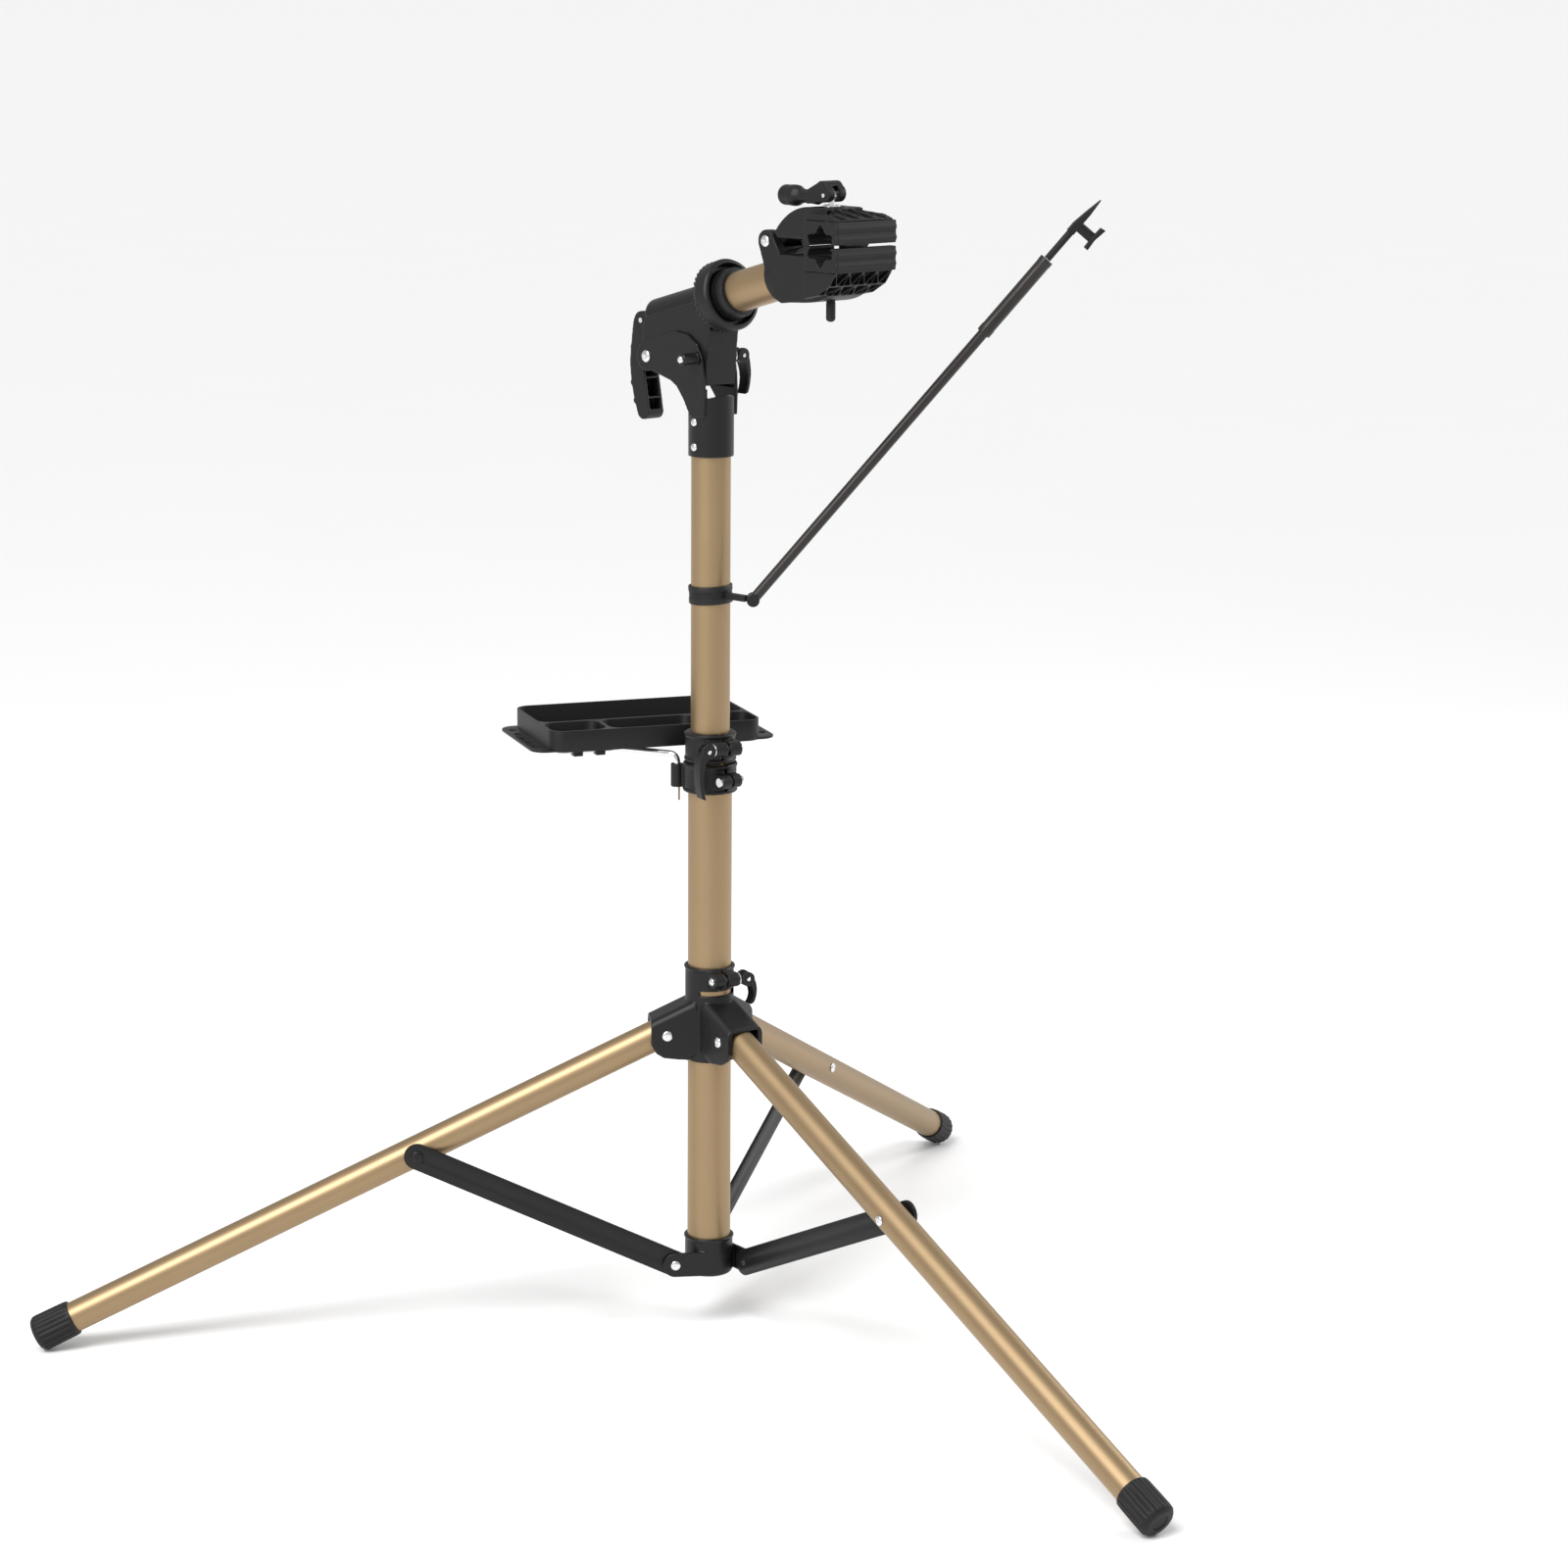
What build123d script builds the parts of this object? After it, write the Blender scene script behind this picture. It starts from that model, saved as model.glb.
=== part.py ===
"""Folding bike repair stand: tripod, telescopic post, folding head with a turning clamp arm,
tool tray and wheel support rod. Millimetres, +Z up, origin on the floor under the post."""
from build123d import *
import math
import os

os.makedirs("parts", exist_ok=True)

# ---------------------------------------------------------------- driving dimensions
gap = 0.3                    # between parts on different bodies
slip = 0.08                  # radial clearance of pins, shafts and sliding tubes

# tubes
post_r = 22.5                # lower post, outside
post_wall = 2.2
upper_r = 20.0               # upper post, outside
upper_wall = 1.8
leg_r = 16.0
leg_wall = 1.6
arm_r = 20.0
arm_wall = 1.8

# tripod
leg_azimuths = {"left": 180.0, "front": 300.0, "back": 60.0}
leg_spread = 64.75           # leg from the vertical when open
hub_pivot_r = 45.8
hub_pivot_z = 323.0
strut_bolt_at = 286.0        # along the leg from its pivot
foot_pivot_r = 37.4
foot_pivot_z = 74.8
strut_width = 27.0
strut_thick = 4.0
foot_cap_r = 19.0
foot_cap_len = 43.0
foot_cap_edge = 5.0

# hubs and collars on the post
foot_hub_r = 25.0
foot_hub_z = (60.0, 101.0)
hub_r = 25.2
hub_z = (293.0, 393.0)
lug_half = 22.5
lug_wall = 4.0
lug_reach = 16.5             # past the leg pivot
lug_round = 9.0
tray_collar_r = 27.0
tray_collar_z = (577.0, 607.0)
post_collar_r = 25.6
post_collar_z = (608.0, 639.0)
collar_lip = 5.0

# upper post
glide_z = 360.0
glide_height = 8.0
upper_top_z = 964.0

# head
arm_azimuth = -54.0
arm_tilt = 15.3
arm_axis_z = 1076.1          # where the arm's axis crosses the post's axis
yoke_r = 23.0
yoke_z = (921.0, 990.0)
yoke_open_z = 975.0          # end of the bore for the post
rivet_z = (931.0, 956.0)
yoke_inner = 20.0            # half the gap between the side plates
fold_pivot = (-72.0, 1016.5)
fold_lobe_r = 15.0
head_skewer = (2.5, 1020.0)
housing_r = 18.0
housing_s = (-84.0, 11.0)    # along the arm's axis
ring_r = 36.0
ring_s = (11.0, 33.0)
cup_r = 25.0
cup_s = (33.3, 44.0)
spindle_r = 10.0
spindle_s = -62.0
drawbar_r = 3.2
lock_pivot_s = -98.0

# clamp
sleeve_s = (106.0, 146.0)
sleeve_r = 24.0
jaw_pivot = (102.0, 1141.5)
jaw_lobe_r = 11.0
jaw_split_z = 1142.0
jaw_body_half = 24.0
jaw_wing_half = 38.0
pad_half = 40.0
pad_u = (174.0, 219.0)
groove_u = 196.5
groove_r = 14.5              # round seat of the jaws
groove_point = 20.5          # star points round the seat
pad_thick = 24.0
clamp_rod_u = 171.0
clamp_rod_r = 3.0
rod_cap_r = 4.6
jaw_top_z = 1177.0
cam_z = 1188.0               # pin of the cam lever
clamp_washer_thick = 1.6
cam_half = 11.0              # half the width across the cam's cheeks
knob_u = 110.0

# quick release sets
skewer_r = 2.8
ear_azimuth = -68.0
ear_reach = 33.5
ear_half = 14.5
ear_r = 7.4
eye_r = 4.6
eye_half = 3.0
cheek_r = 7.4
cheek_half = 7.5
pin_r = 2.0
washer_thick = 1.5
nut_len = 3.2
head_cam_reach = 35.5
head_nut_reach = 46.0

# tray
tray_size = (226.0, 146.0)
tray_depth = 22.0
tray_wall = 2.4
tray_yaw = 12.3
tray_corner = (-161.2, -2.4)
tray_floor_z = 618.5
tray_lip = 18.0
socket_azimuth = 159.0
socket_at = 35.0
socket_z = (579.0, 603.0)
tray_rod_r = 3.5

# support rod
band_z = (772.0, 790.0)
rod_pivot = (38.0, -44.0, 781.0)
rod_azimuth = -6.3
rod_rise = 49.8
rod_inner_r = 5.3
rod_outer_r = 7.0
rod_inner_len = 390.0
rod_outer_s = (350.0, 446.0)

UP = Vector(0, 0, 1)


# ---------------------------------------------------------------- directions and planes
def radial(azimuth):
    return Vector(math.cos(math.radians(azimuth)), math.sin(math.radians(azimuth)), 0)


def tangent(azimuth):
    return Vector(-math.sin(math.radians(azimuth)), math.cos(math.radians(azimuth)), 0)


def upright(azimuth, offset=0.0):
    """Plane through the post's axis: local x outward, local y up, offset along the tangent."""
    return Plane(origin=tangent(azimuth) * offset, x_dir=radial(azimuth), z_dir=tangent(azimuth) * -1)


def finish(builder, name):
    builder.part.label = name
    export_step(builder.part, f"parts/{name}.step")
    return builder.part


head_out = radial(arm_azimuth)
head_side = tangent(arm_azimuth)
arm_dir = head_out * math.cos(math.radians(arm_tilt)) + UP * math.sin(math.radians(arm_tilt))
arm_start = UP * arm_axis_z


def across_arm(s):
    return Plane(origin=arm_start + arm_dir * s, x_dir=head_side, z_dir=arm_dir)


def head_point(u, z, n=0.0):
    return head_out * u + head_side * n + UP * z


# ---------------------------------------------------------------- leg and strut geometry
spread = math.radians(leg_spread)
edge_r = foot_cap_r - foot_cap_edge
leg_len = foot_cap_edge + (hub_pivot_z - edge_r * math.sin(spread) - foot_cap_edge) / math.cos(spread)
bolt_r = hub_pivot_r + strut_bolt_at * math.sin(spread)
bolt_z = hub_pivot_z - strut_bolt_at * math.cos(spread)
strut_len = math.hypot(bolt_r - foot_pivot_r, bolt_z - foot_pivot_z)
strut_rise = math.atan2(bolt_z - foot_pivot_z, bolt_r - foot_pivot_r)
strut_near = leg_r + 1.4
strut_far = strut_near + strut_thick
ear_thick = 3.2
pivot_bolt_r = 4.0

# ---------------------------------------------------------------- posts
with BuildPart() as lower_post:
    with BuildSketch(Plane.XY.offset(foot_hub_z[0] + 4)):
        Circle(post_r)
        Circle(post_r - post_wall, mode=Mode.SUBTRACT)
    extrude(amount=post_collar_z[1] - collar_lip - foot_hub_z[0] - 4)
finish(lower_post, "lower_post")

with BuildPart() as upper_post:
    with BuildSketch(Plane.XY.offset(glide_z + glide_height)):
        Circle(upper_r)
        Circle(upper_r - upper_wall, mode=Mode.SUBTRACT)
    extrude(amount=upper_top_z - glide_z - glide_height)
finish(upper_post, "upper_post")

with BuildPart() as glide_plug:
    with BuildSketch(Plane.XY.offset(glide_z)):
        Circle(post_r - post_wall - slip)
    extrude(amount=glide_height - gap)
    with BuildSketch(Plane.XY.offset(glide_z + glide_height - gap)):
        Circle(upper_r - upper_wall - slip)
    extrude(amount=24)
    with BuildSketch(Plane.XY.offset(glide_z)):
        Circle(upper_r - 8)
    extrude(amount=glide_height + 24, mode=Mode.SUBTRACT)
finish(glide_plug, "glide_plug")

# ---------------------------------------------------------------- foot hub
with BuildPart() as foot_hub:
    with BuildSketch(Plane.XY.offset(foot_hub_z[0])):
        Circle(foot_hub_r)
    extrude(amount=foot_hub_z[1] - foot_hub_z[0])
    fillet(foot_hub.edges().group_by(Axis.Z)[0], radius=4)
    for azimuth in leg_azimuths.values():
        with BuildSketch(upright(azimuth, strut_far + gap)):
            with Locations((foot_pivot_r, foot_pivot_z)):
                Circle(13)
            with Locations((foot_pivot_r / 2, foot_pivot_z)):
                Rectangle(foot_pivot_r, 26)
        extrude(amount=-ear_thick)
    with BuildSketch(Plane.XY.offset(foot_hub_z[0] + 4)):
        Circle(post_r + 0.02)
    extrude(amount=foot_hub_z[1] - foot_hub_z[0] - 4, mode=Mode.SUBTRACT)
    for azimuth in leg_azimuths.values():
        with BuildSketch(upright(azimuth, strut_far)):
            with Locations((foot_pivot_r, foot_pivot_z)):
                Circle(pivot_bolt_r - 1 + slip)
        extrude(amount=-20, mode=Mode.SUBTRACT)
finish(foot_hub, "foot_hub")

with BuildPart() as foot_hub_rivets:
    for azimuth in leg_azimuths.values():
        with BuildSketch(upright(azimuth, strut_near)):
            with Locations((foot_pivot_r, foot_pivot_z)):
                Circle(pivot_bolt_r - 1)
        extrude(amount=-(strut_thick + gap + ear_thick))
        with BuildSketch(upright(azimuth, strut_far + gap + ear_thick)):
            with Locations((foot_pivot_r, foot_pivot_z)):
                Circle(5.2)
        extrude(amount=-2.4)
finish(foot_hub_rivets, "foot_hub_rivets")


# ---------------------------------------------------------------- quick release parts
def ear_origin(z):
    return radial(ear_azimuth) * ear_reach + UP * z


def quick_release_bolt(name, centre, along, across, nut_reach, cam_reach, nut_r):
    """Rod with a round nut at one end, and a washer, an eye and its cross pin at the other."""
    washer_at = cam_reach - cheek_r - gap - washer_thick
    with BuildPart() as bolt:
        with BuildSketch(Plane(origin=centre - along * nut_reach, x_dir=across, z_dir=along)):
            Circle(skewer_r)
        extrude(amount=nut_reach + cam_reach)
        with BuildSketch(Plane(origin=centre - along * nut_reach, x_dir=across, z_dir=along)):
            Circle(nut_r)
        extrude(amount=nut_len)
        with BuildSketch(Plane(origin=centre + along * washer_at, x_dir=across, z_dir=along)):
            Circle(6.5)
        extrude(amount=washer_thick)
        with BuildSketch(Plane(origin=centre + along * cam_reach, x_dir=along, z_dir=across)):
            Circle(eye_r)
        extrude(amount=eye_half, both=True)
        with BuildSketch(Plane(origin=centre + along * cam_reach, x_dir=along, z_dir=across)):
            Circle(pin_r)
        extrude(amount=cheek_half + 1.0, both=True)
    return finish(bolt, name)


def quick_release_lever(name, pivot, along, across, length):
    """Forked cam lever, hanging down from its pin when closed."""
    plane = Plane(origin=pivot, x_dir=along, z_dir=across)
    with BuildPart() as lever:
        with BuildSketch(plane):
            Circle(cheek_r)
        extrude(amount=cheek_half, both=True)
        with BuildSketch(plane):
            with BuildLine():
                outer = ThreePointArc((cheek_r, 0), (10.5, -length * 0.55), (7.0, -length))
                Line(outer @ 1, (2.6, -length - 1.5))
                inner = ThreePointArc((2.6, -length - 1.5), (6.2, -length * 0.55), (1.5, -6.5))
                Line(inner @ 1, (cheek_r, 0))
            make_face()
        extrude(amount=cheek_half - 1.0, both=True)
        with BuildSketch(plane):
            Circle(eye_r + gap * 2)
            with Locations((-3.4, 2.4)):
                Rectangle(17.2, 13.2)
            with Locations((-1.0, 5.0)):
                Rectangle(22.0, 11.0)
        extrude(amount=eye_half + gap, both=True, mode=Mode.SUBTRACT)
        with BuildSketch(plane):
            Circle(pin_r + slip)
        extrude(amount=cheek_half + 1, both=True, mode=Mode.SUBTRACT)
    return finish(lever, name)


ear_out = radial(ear_azimuth)
ear_along = tangent(ear_azimuth)
hub_skewer_z = 383.0
post_skewer_z = 626.0
cam_reach = ear_half + washer_thick + gap + cheek_r + 0.1
nut_reach = ear_half + nut_len + 0.1
quick_release_bolt("hub_qr_bolt", ear_origin(hub_skewer_z), ear_along, ear_out, nut_reach, cam_reach, 4.4)
quick_release_lever("hub_qr_lever", ear_origin(hub_skewer_z) + ear_along * cam_reach, ear_along, ear_out, 26)
post_ear = ear_origin(post_skewer_z) + ear_out * 2.0
quick_release_bolt("post_qr_bolt", post_ear, ear_along * -1, ear_out * -1, nut_reach, cam_reach, 4.4)
quick_release_lever(
    "post_qr_lever", post_ear - ear_along * cam_reach, ear_along * -1, ear_out * -1, 48
)

# ---------------------------------------------------------------- leg hub
lug_roof_h = leg_r + 0.6
lug_roof = lug_roof_h / math.sin(spread)
fall = 1 / math.tan(spread)
lug_end = hub_pivot_r + lug_reach


def lug_line(height, r):
    """Height of a line that runs parallel to the open leg, this far above its axis."""
    return hub_pivot_z + height - (r - hub_pivot_r) * fall


with BuildPart() as leg_hub:
    with BuildSketch(Plane.XY.offset(hub_z[0])):
        Circle(hub_r)
    extrude(amount=hub_z[1] - hub_z[0])
    for azimuth in leg_azimuths.values():
        down = radial(azimuth) * math.sin(spread) - UP * math.cos(spread)
        back = radial(azimuth) * hub_pivot_r + UP * hub_pivot_z - down * 40
        with BuildSketch(Plane(origin=back, x_dir=tangent(azimuth), z_dir=down)):
            with Locations((0, (lug_roof_h + lug_wall - 35) / 2)):
                RectangleRounded(2 * lug_half, lug_roof_h + lug_wall + 35, lug_round)
        extrude(amount=90)
        with BuildSketch(upright(azimuth)):
            Polygon(
                (lug_end, hub_pivot_z + 80),
                (lug_end + 80, hub_pivot_z + 80),
                (lug_end + 80, hub_pivot_z - 120),
                (26, hub_pivot_z - 120),
                (26, hub_z[0] + 3),
                (lug_end - 13, hub_pivot_z - 24),
                (lug_end - 5, hub_pivot_z - 19),
                (lug_end, hub_pivot_z - 10),
                align=None,
            )
        extrude(amount=lug_half + 1, both=True, mode=Mode.SUBTRACT)
    for azimuth in leg_azimuths.values():
        with BuildSketch(upright(azimuth)):
            Polygon(
                (hub_r + 2, lug_line(lug_roof, hub_r + 2)),
                (lug_end + 5, lug_line(lug_roof, lug_end + 5)),
                (lug_end + 5, hub_z[0] - 5),
                (hub_r + 2, hub_z[0] - 5),
                align=None,
            )
        extrude(amount=leg_r + 0.5, both=True, mode=Mode.SUBTRACT)
        with BuildSketch(upright(azimuth)):
            with Locations((hub_pivot_r, hub_pivot_z)):
                Circle(pivot_bolt_r + 0.02)
        extrude(amount=lug_half + 2, both=True, mode=Mode.SUBTRACT)
    with BuildSketch(Plane(origin=ear_origin(hub_skewer_z), x_dir=ear_out, z_dir=ear_along)):
        Circle(ear_r)
        with Locations((-6, 0)):
            Rectangle(12, 2 * ear_r)
    extrude(amount=ear_half, both=True)
    with BuildSketch(Plane.XY.offset(hub_z[0] - 1)):
        Circle(post_r + slip)
    extrude(amount=hub_z[1] - hub_z[0] + 2, mode=Mode.SUBTRACT)
    with BuildSketch(Plane(origin=ear_origin(hub_skewer_z), x_dir=ear_out, z_dir=ear_along)):
        Circle(skewer_r + 0.02)
    extrude(amount=ear_half + 2, both=True, mode=Mode.SUBTRACT)
    with BuildSketch(upright(ear_azimuth)):
        with Locations((hub_r + 8, hub_skewer_z)):
            Rectangle(26, 2 * (hub_z[1] - hub_skewer_z + 1))
    extrude(amount=1.5, both=True, mode=Mode.SUBTRACT)
    with BuildSketch(Plane.XY.offset(364)):
        with Locations(Location((0, 0, 0), (0, 0, ear_azimuth))):
            with Locations((hub_r - 4, 0)):
                Rectangle(20, 40)
    extrude(amount=5, mode=Mode.SUBTRACT)
finish(leg_hub, "leg_hub")

with BuildPart() as leg_hub_bolts:
    for azimuth in leg_azimuths.values():
        with BuildSketch(upright(azimuth)):
            with Locations((hub_pivot_r, hub_pivot_z)):
                Circle(pivot_bolt_r)
        extrude(amount=lug_half, both=True)
        for side in (-1, 1):
            with BuildSketch(upright(azimuth, side * lug_half)):
                with Locations((hub_pivot_r, hub_pivot_z)):
                    Circle(5.6)
            extrude(amount=-side * 2.6)
finish(leg_hub_bolts, "leg_hub_bolts")

# ---------------------------------------------------------------- legs and struts
for name, azimuth in leg_azimuths.items():
    out = radial(azimuth)
    down = out * math.sin(spread) - UP * math.cos(spread)
    pivot = out * hub_pivot_r + UP * hub_pivot_z
    side = tangent(azimuth)

    with BuildPart() as leg:
        with BuildSketch(Plane(origin=pivot - down * 1.5 * leg_r, x_dir=side, z_dir=down)):
            Circle(leg_r)
        extrude(amount=1.5 * leg_r + leg_len - 4)
        with BuildSketch(upright(azimuth)):
            with Locations((hub_pivot_r, hub_pivot_z)):
                Circle(leg_r + 0.25)
            with Locations(Location((hub_pivot_r, hub_pivot_z, 0), (0, 0, leg_spread - 90))):
                with Locations((leg_len / 2, 0)):
                    Rectangle(leg_len, 2 * leg_r + 2)
        extrude(amount=leg_r + 1, both=True, mode=Mode.INTERSECT)
        with BuildSketch(Plane(origin=pivot + down * 20, x_dir=side, z_dir=down)):
            Circle(leg_r - leg_wall)
        extrude(amount=leg_len, mode=Mode.SUBTRACT)
        with BuildSketch(upright(azimuth)):
            with Locations((hub_pivot_r, hub_pivot_z)):
                Circle(pivot_bolt_r + slip)
            with Locations((bolt_r, bolt_z)):
                Circle(3.0)
        extrude(amount=leg_r + 2, both=True, mode=Mode.SUBTRACT)
    finish(leg, f"{name}_leg")

    with BuildPart() as cap:
        with BuildSketch(Plane(origin=pivot + down * (leg_len - foot_cap_len), x_dir=side, z_dir=down)):
            Circle(foot_cap_r)
        extrude(amount=foot_cap_len)
        fillet(cap.edges().sort_by(Axis(pivot, down))[-1], radius=foot_cap_edge)
        with BuildSketch(Plane(origin=pivot + down * (leg_len - foot_cap_len), x_dir=side, z_dir=down)):
            Circle(leg_r + 0.02)
        extrude(amount=foot_cap_len - 4, mode=Mode.SUBTRACT)
    finish(cap, f"{name}_foot_cap")

    with BuildPart() as strut:
        with BuildSketch(upright(azimuth, strut_near)):
            with Locations(
                Location((foot_pivot_r, foot_pivot_z, 0), (0, 0, math.degrees(strut_rise)))
            ):
                with Locations((strut_len / 2, 0)):
                    SlotCenterToCenter(strut_len, strut_width)
        extrude(amount=-strut_thick)
        with BuildSketch(upright(azimuth, strut_near - 1)):
            with Locations((foot_pivot_r, foot_pivot_z)):
                Circle(pivot_bolt_r - 1 + slip)
            with Locations((bolt_r, bolt_z)):
                Circle(3.0)
        extrude(amount=-(strut_thick + 2), mode=Mode.SUBTRACT)
    finish(strut, f"{name}_strut")

    with BuildPart() as strut_bolt:
        with BuildSketch(upright(azimuth, leg_r + gap)):
            with Locations((bolt_r, bolt_z)):
                Circle(3.0)
        extrude(amount=-(strut_far - leg_r - gap))
        with BuildSketch(upright(azimuth, strut_far)):
            with Locations((bolt_r, bolt_z)):
                Circle(6.4)
        extrude(amount=-2.6)
    finish(strut_bolt, f"{name}_strut_bolt")

    with BuildPart() as leg_bolt:
        with BuildSketch(upright(azimuth, -leg_r - 2.4)):
            with Locations((bolt_r, bolt_z)):
                Circle(5.2)
        extrude(amount=2.6)
        with BuildSketch(upright(azimuth, -leg_r - 2.4)):
            with Locations((bolt_r, bolt_z)):
                Circle(2.98)
        extrude(amount=-(2 * leg_r + 2.0))
    finish(leg_bolt, f"{name}_leg_bolt")

# ---------------------------------------------------------------- post collar
with BuildPart() as post_collar:
    with BuildSketch(Plane.XY.offset(post_collar_z[0])):
        Circle(post_collar_r)
    extrude(amount=post_collar_z[1] - post_collar_z[0])
    fillet(post_collar.edges().group_by(Axis.Z)[-1], radius=1.5)
    with BuildSketch(Plane(origin=post_ear, x_dir=ear_out, z_dir=ear_along)):
        Circle(ear_r)
        with Locations((-7, 0)):
            Rectangle(14, 2 * ear_r)
    extrude(amount=ear_half, both=True)
    with BuildSketch(Plane.XY.offset(post_collar_z[0] - 1)):
        Circle(post_r + 0.02)
    extrude(amount=post_collar_z[1] - post_collar_z[0] + 1 - collar_lip, mode=Mode.SUBTRACT)
    with BuildSketch(Plane.XY.offset(post_collar_z[0])):
        Circle(upper_r + slip)
    extrude(amount=post_collar_z[1] - post_collar_z[0], mode=Mode.SUBTRACT)
    with BuildSketch(Plane(origin=post_ear, x_dir=ear_out, z_dir=ear_along)):
        Circle(skewer_r + 0.02)
    extrude(amount=ear_half + 2, both=True, mode=Mode.SUBTRACT)
    with BuildSketch(upright(ear_azimuth)):
        with Locations((ear_reach, (post_collar_z[0] + post_collar_z[1]) / 2)):
            Rectangle(30, 40)
    extrude(amount=1.5, both=True, mode=Mode.SUBTRACT)
finish(post_collar, "post_collar")

# ---------------------------------------------------------------- tray collar
tray_screw_z = (tray_collar_z[0] + tray_collar_z[1]) / 2
tray_ear = radial(ear_azimuth + 8) * 34 + UP * tray_screw_z
tray_ear_out = radial(ear_azimuth + 8)
tray_ear_along = tangent(ear_azimuth + 8)
with BuildPart() as tray_collar:
    with BuildSketch(Plane.XY.offset(tray_collar_z[0])):
        Circle(tray_collar_r)
    extrude(amount=tray_collar_z[1] - tray_collar_z[0])
    with BuildSketch(Plane.XY.offset(socket_z[0])):
        with Locations(Location((0, 0, 0), (0, 0, socket_azimuth))):
            with Locations((socket_at / 2 + 3, 0)):
                Rectangle(socket_at - 6, 7)
            with Locations((socket_at, 0)):
                Circle(6.5)
    extrude(amount=socket_z[1] - socket_z[0])
    with BuildSketch(Plane(origin=tray_ear, x_dir=tray_ear_out, z_dir=tray_ear_along)):
        Circle(7)
        with Locations((-6, 0)):
            Rectangle(12, 14)
    extrude(amount=11, both=True)
    with BuildSketch(Plane.XY.offset(tray_collar_z[0] - 1)):
        Circle(post_r + slip)
        with Locations(radial(socket_azimuth) * socket_at):
            Circle(tray_rod_r + slip)
    extrude(amount=tray_collar_z[1] - tray_collar_z[0] + 2, mode=Mode.SUBTRACT)
    with BuildSketch(Plane(origin=tray_ear, x_dir=tray_ear_out, z_dir=tray_ear_along)):
        Circle(2.52)
    extrude(amount=13, both=True, mode=Mode.SUBTRACT)
    with BuildSketch(upright(ear_azimuth + 8)):
        with Locations((ear_reach, tray_screw_z)):
            Rectangle(30, 40)
    extrude(amount=1.5, both=True, mode=Mode.SUBTRACT)
finish(tray_collar, "tray_collar")

with BuildPart() as tray_screw:
    with BuildSketch(Plane(origin=tray_ear - tray_ear_along * 14, x_dir=tray_ear_out, z_dir=tray_ear_along)):
        Circle(2.5)
    extrude(amount=28)
    with BuildSketch(Plane(origin=tray_ear - tray_ear_along * 14, x_dir=tray_ear_out, z_dir=tray_ear_along)):
        Circle(4.6)
    extrude(amount=2.8)
    with BuildSketch(Plane(origin=tray_ear + tray_ear_along * 11.2, x_dir=tray_ear_out, z_dir=tray_ear_along)):
        RegularPolygon(4.6, 6)
    extrude(amount=3.6)
finish(tray_screw, "tray_screw")

# ---------------------------------------------------------------- tool tray
tray_long = radial(tray_yaw)
tray_wide = tangent(tray_yaw)
tray_mid = Vector(tray_corner[0], tray_corner[1], 0)
tray_mid = tray_mid + tray_long * (tray_size[0] / 2) + tray_wide * (tray_size[1] / 2)


def tray_plane(z):
    return Plane(origin=tray_mid + UP * z, x_dir=tray_long, z_dir=UP)


# pockets, as (centre along, centre across, length, width)
pocket_floor = 3.0
rib = 4.0
half_l = tray_size[0] / 2 - tray_wall
half_w = tray_size[1] / 2 - tray_wall
front_w = 46.0
side_l = 58.0
pockets = [
    (-half_l + side_l / 2, -half_w + front_w / 2, side_l, front_w),
    (0.0, -half_w + front_w / 2, 2 * half_l - 2 * side_l - 2 * rib, front_w),
    (half_l - side_l / 2, -half_w + front_w / 2, side_l, front_w),
    (0.0, (front_w + rib) / 2, 2 * half_l, 2 * half_w - front_w - rib),
]
with BuildPart() as tool_tray:
    with BuildSketch(tray_plane(tray_floor_z)):
        RectangleRounded(tray_size[0] + 2 * tray_lip, tray_size[1] - 10, 16)
    extrude(amount=2.2)
    with BuildSketch(tray_plane(tray_floor_z)):
        RectangleRounded(tray_size[0], tray_size[1], 16)
    extrude(amount=tray_depth)
    for along, wide, length, width in pockets:
        with BuildSketch(tray_plane(tray_floor_z + pocket_floor)):
            with Locations((along, wide)):
                RectangleRounded(length, width, 13)
        extrude(amount=tray_depth, mode=Mode.SUBTRACT)
    with BuildSketch(tray_plane(tray_floor_z - 1)):
        for end in (-1, 1):
            with Locations((end * (tray_size[0] / 2 + tray_lip / 2), 0)):
                with GridLocations(0, 22, 1, 5):
                    Circle(4.2)
    extrude(amount=5, mode=Mode.SUBTRACT)
finish(tool_tray, "tool_tray")

rod_drop_z = tray_collar_z[0] - 12
rod_run_z = tray_floor_z - 2.6 - tray_rod_r - 0.2
socket_xy = radial(socket_azimuth) * socket_at
rod_bend = 8.0
rod_reach = tray_mid - tray_long * 36 - tray_wide * 34
with BuildPart() as tray_rod:
    with BuildLine():
        tray_path = FilletPolyline(
            (socket_xy.X, socket_xy.Y, rod_drop_z),
            (socket_xy.X, socket_xy.Y, rod_run_z),
            (rod_reach.X, rod_reach.Y, rod_run_z),
            (rod_reach.X - tray_long.X * 60, rod_reach.Y - tray_long.Y * 60, rod_run_z),
            radius=rod_bend,
        )
    with BuildSketch(Plane(origin=tray_path @ 0, z_dir=tray_path % 0)):
        Circle(tray_rod_r)
    sweep()
finish(tray_rod, "tray_rod")

with BuildPart() as tray_clips:
    for along in (-52, -76):
        with BuildSketch(tray_plane(tray_floor_z)):
            with Locations((along, -34)):
                Rectangle(10, 14)
        extrude(amount=-(2 * tray_rod_r + 4.8))
    with BuildSketch(Plane(origin=rod_reach + UP * rod_run_z, x_dir=tray_wide, z_dir=tray_long)):
        Circle(tray_rod_r + 0.02)
    extrude(amount=-60, mode=Mode.SUBTRACT)
finish(tray_clips, "tray_clips")

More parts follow.
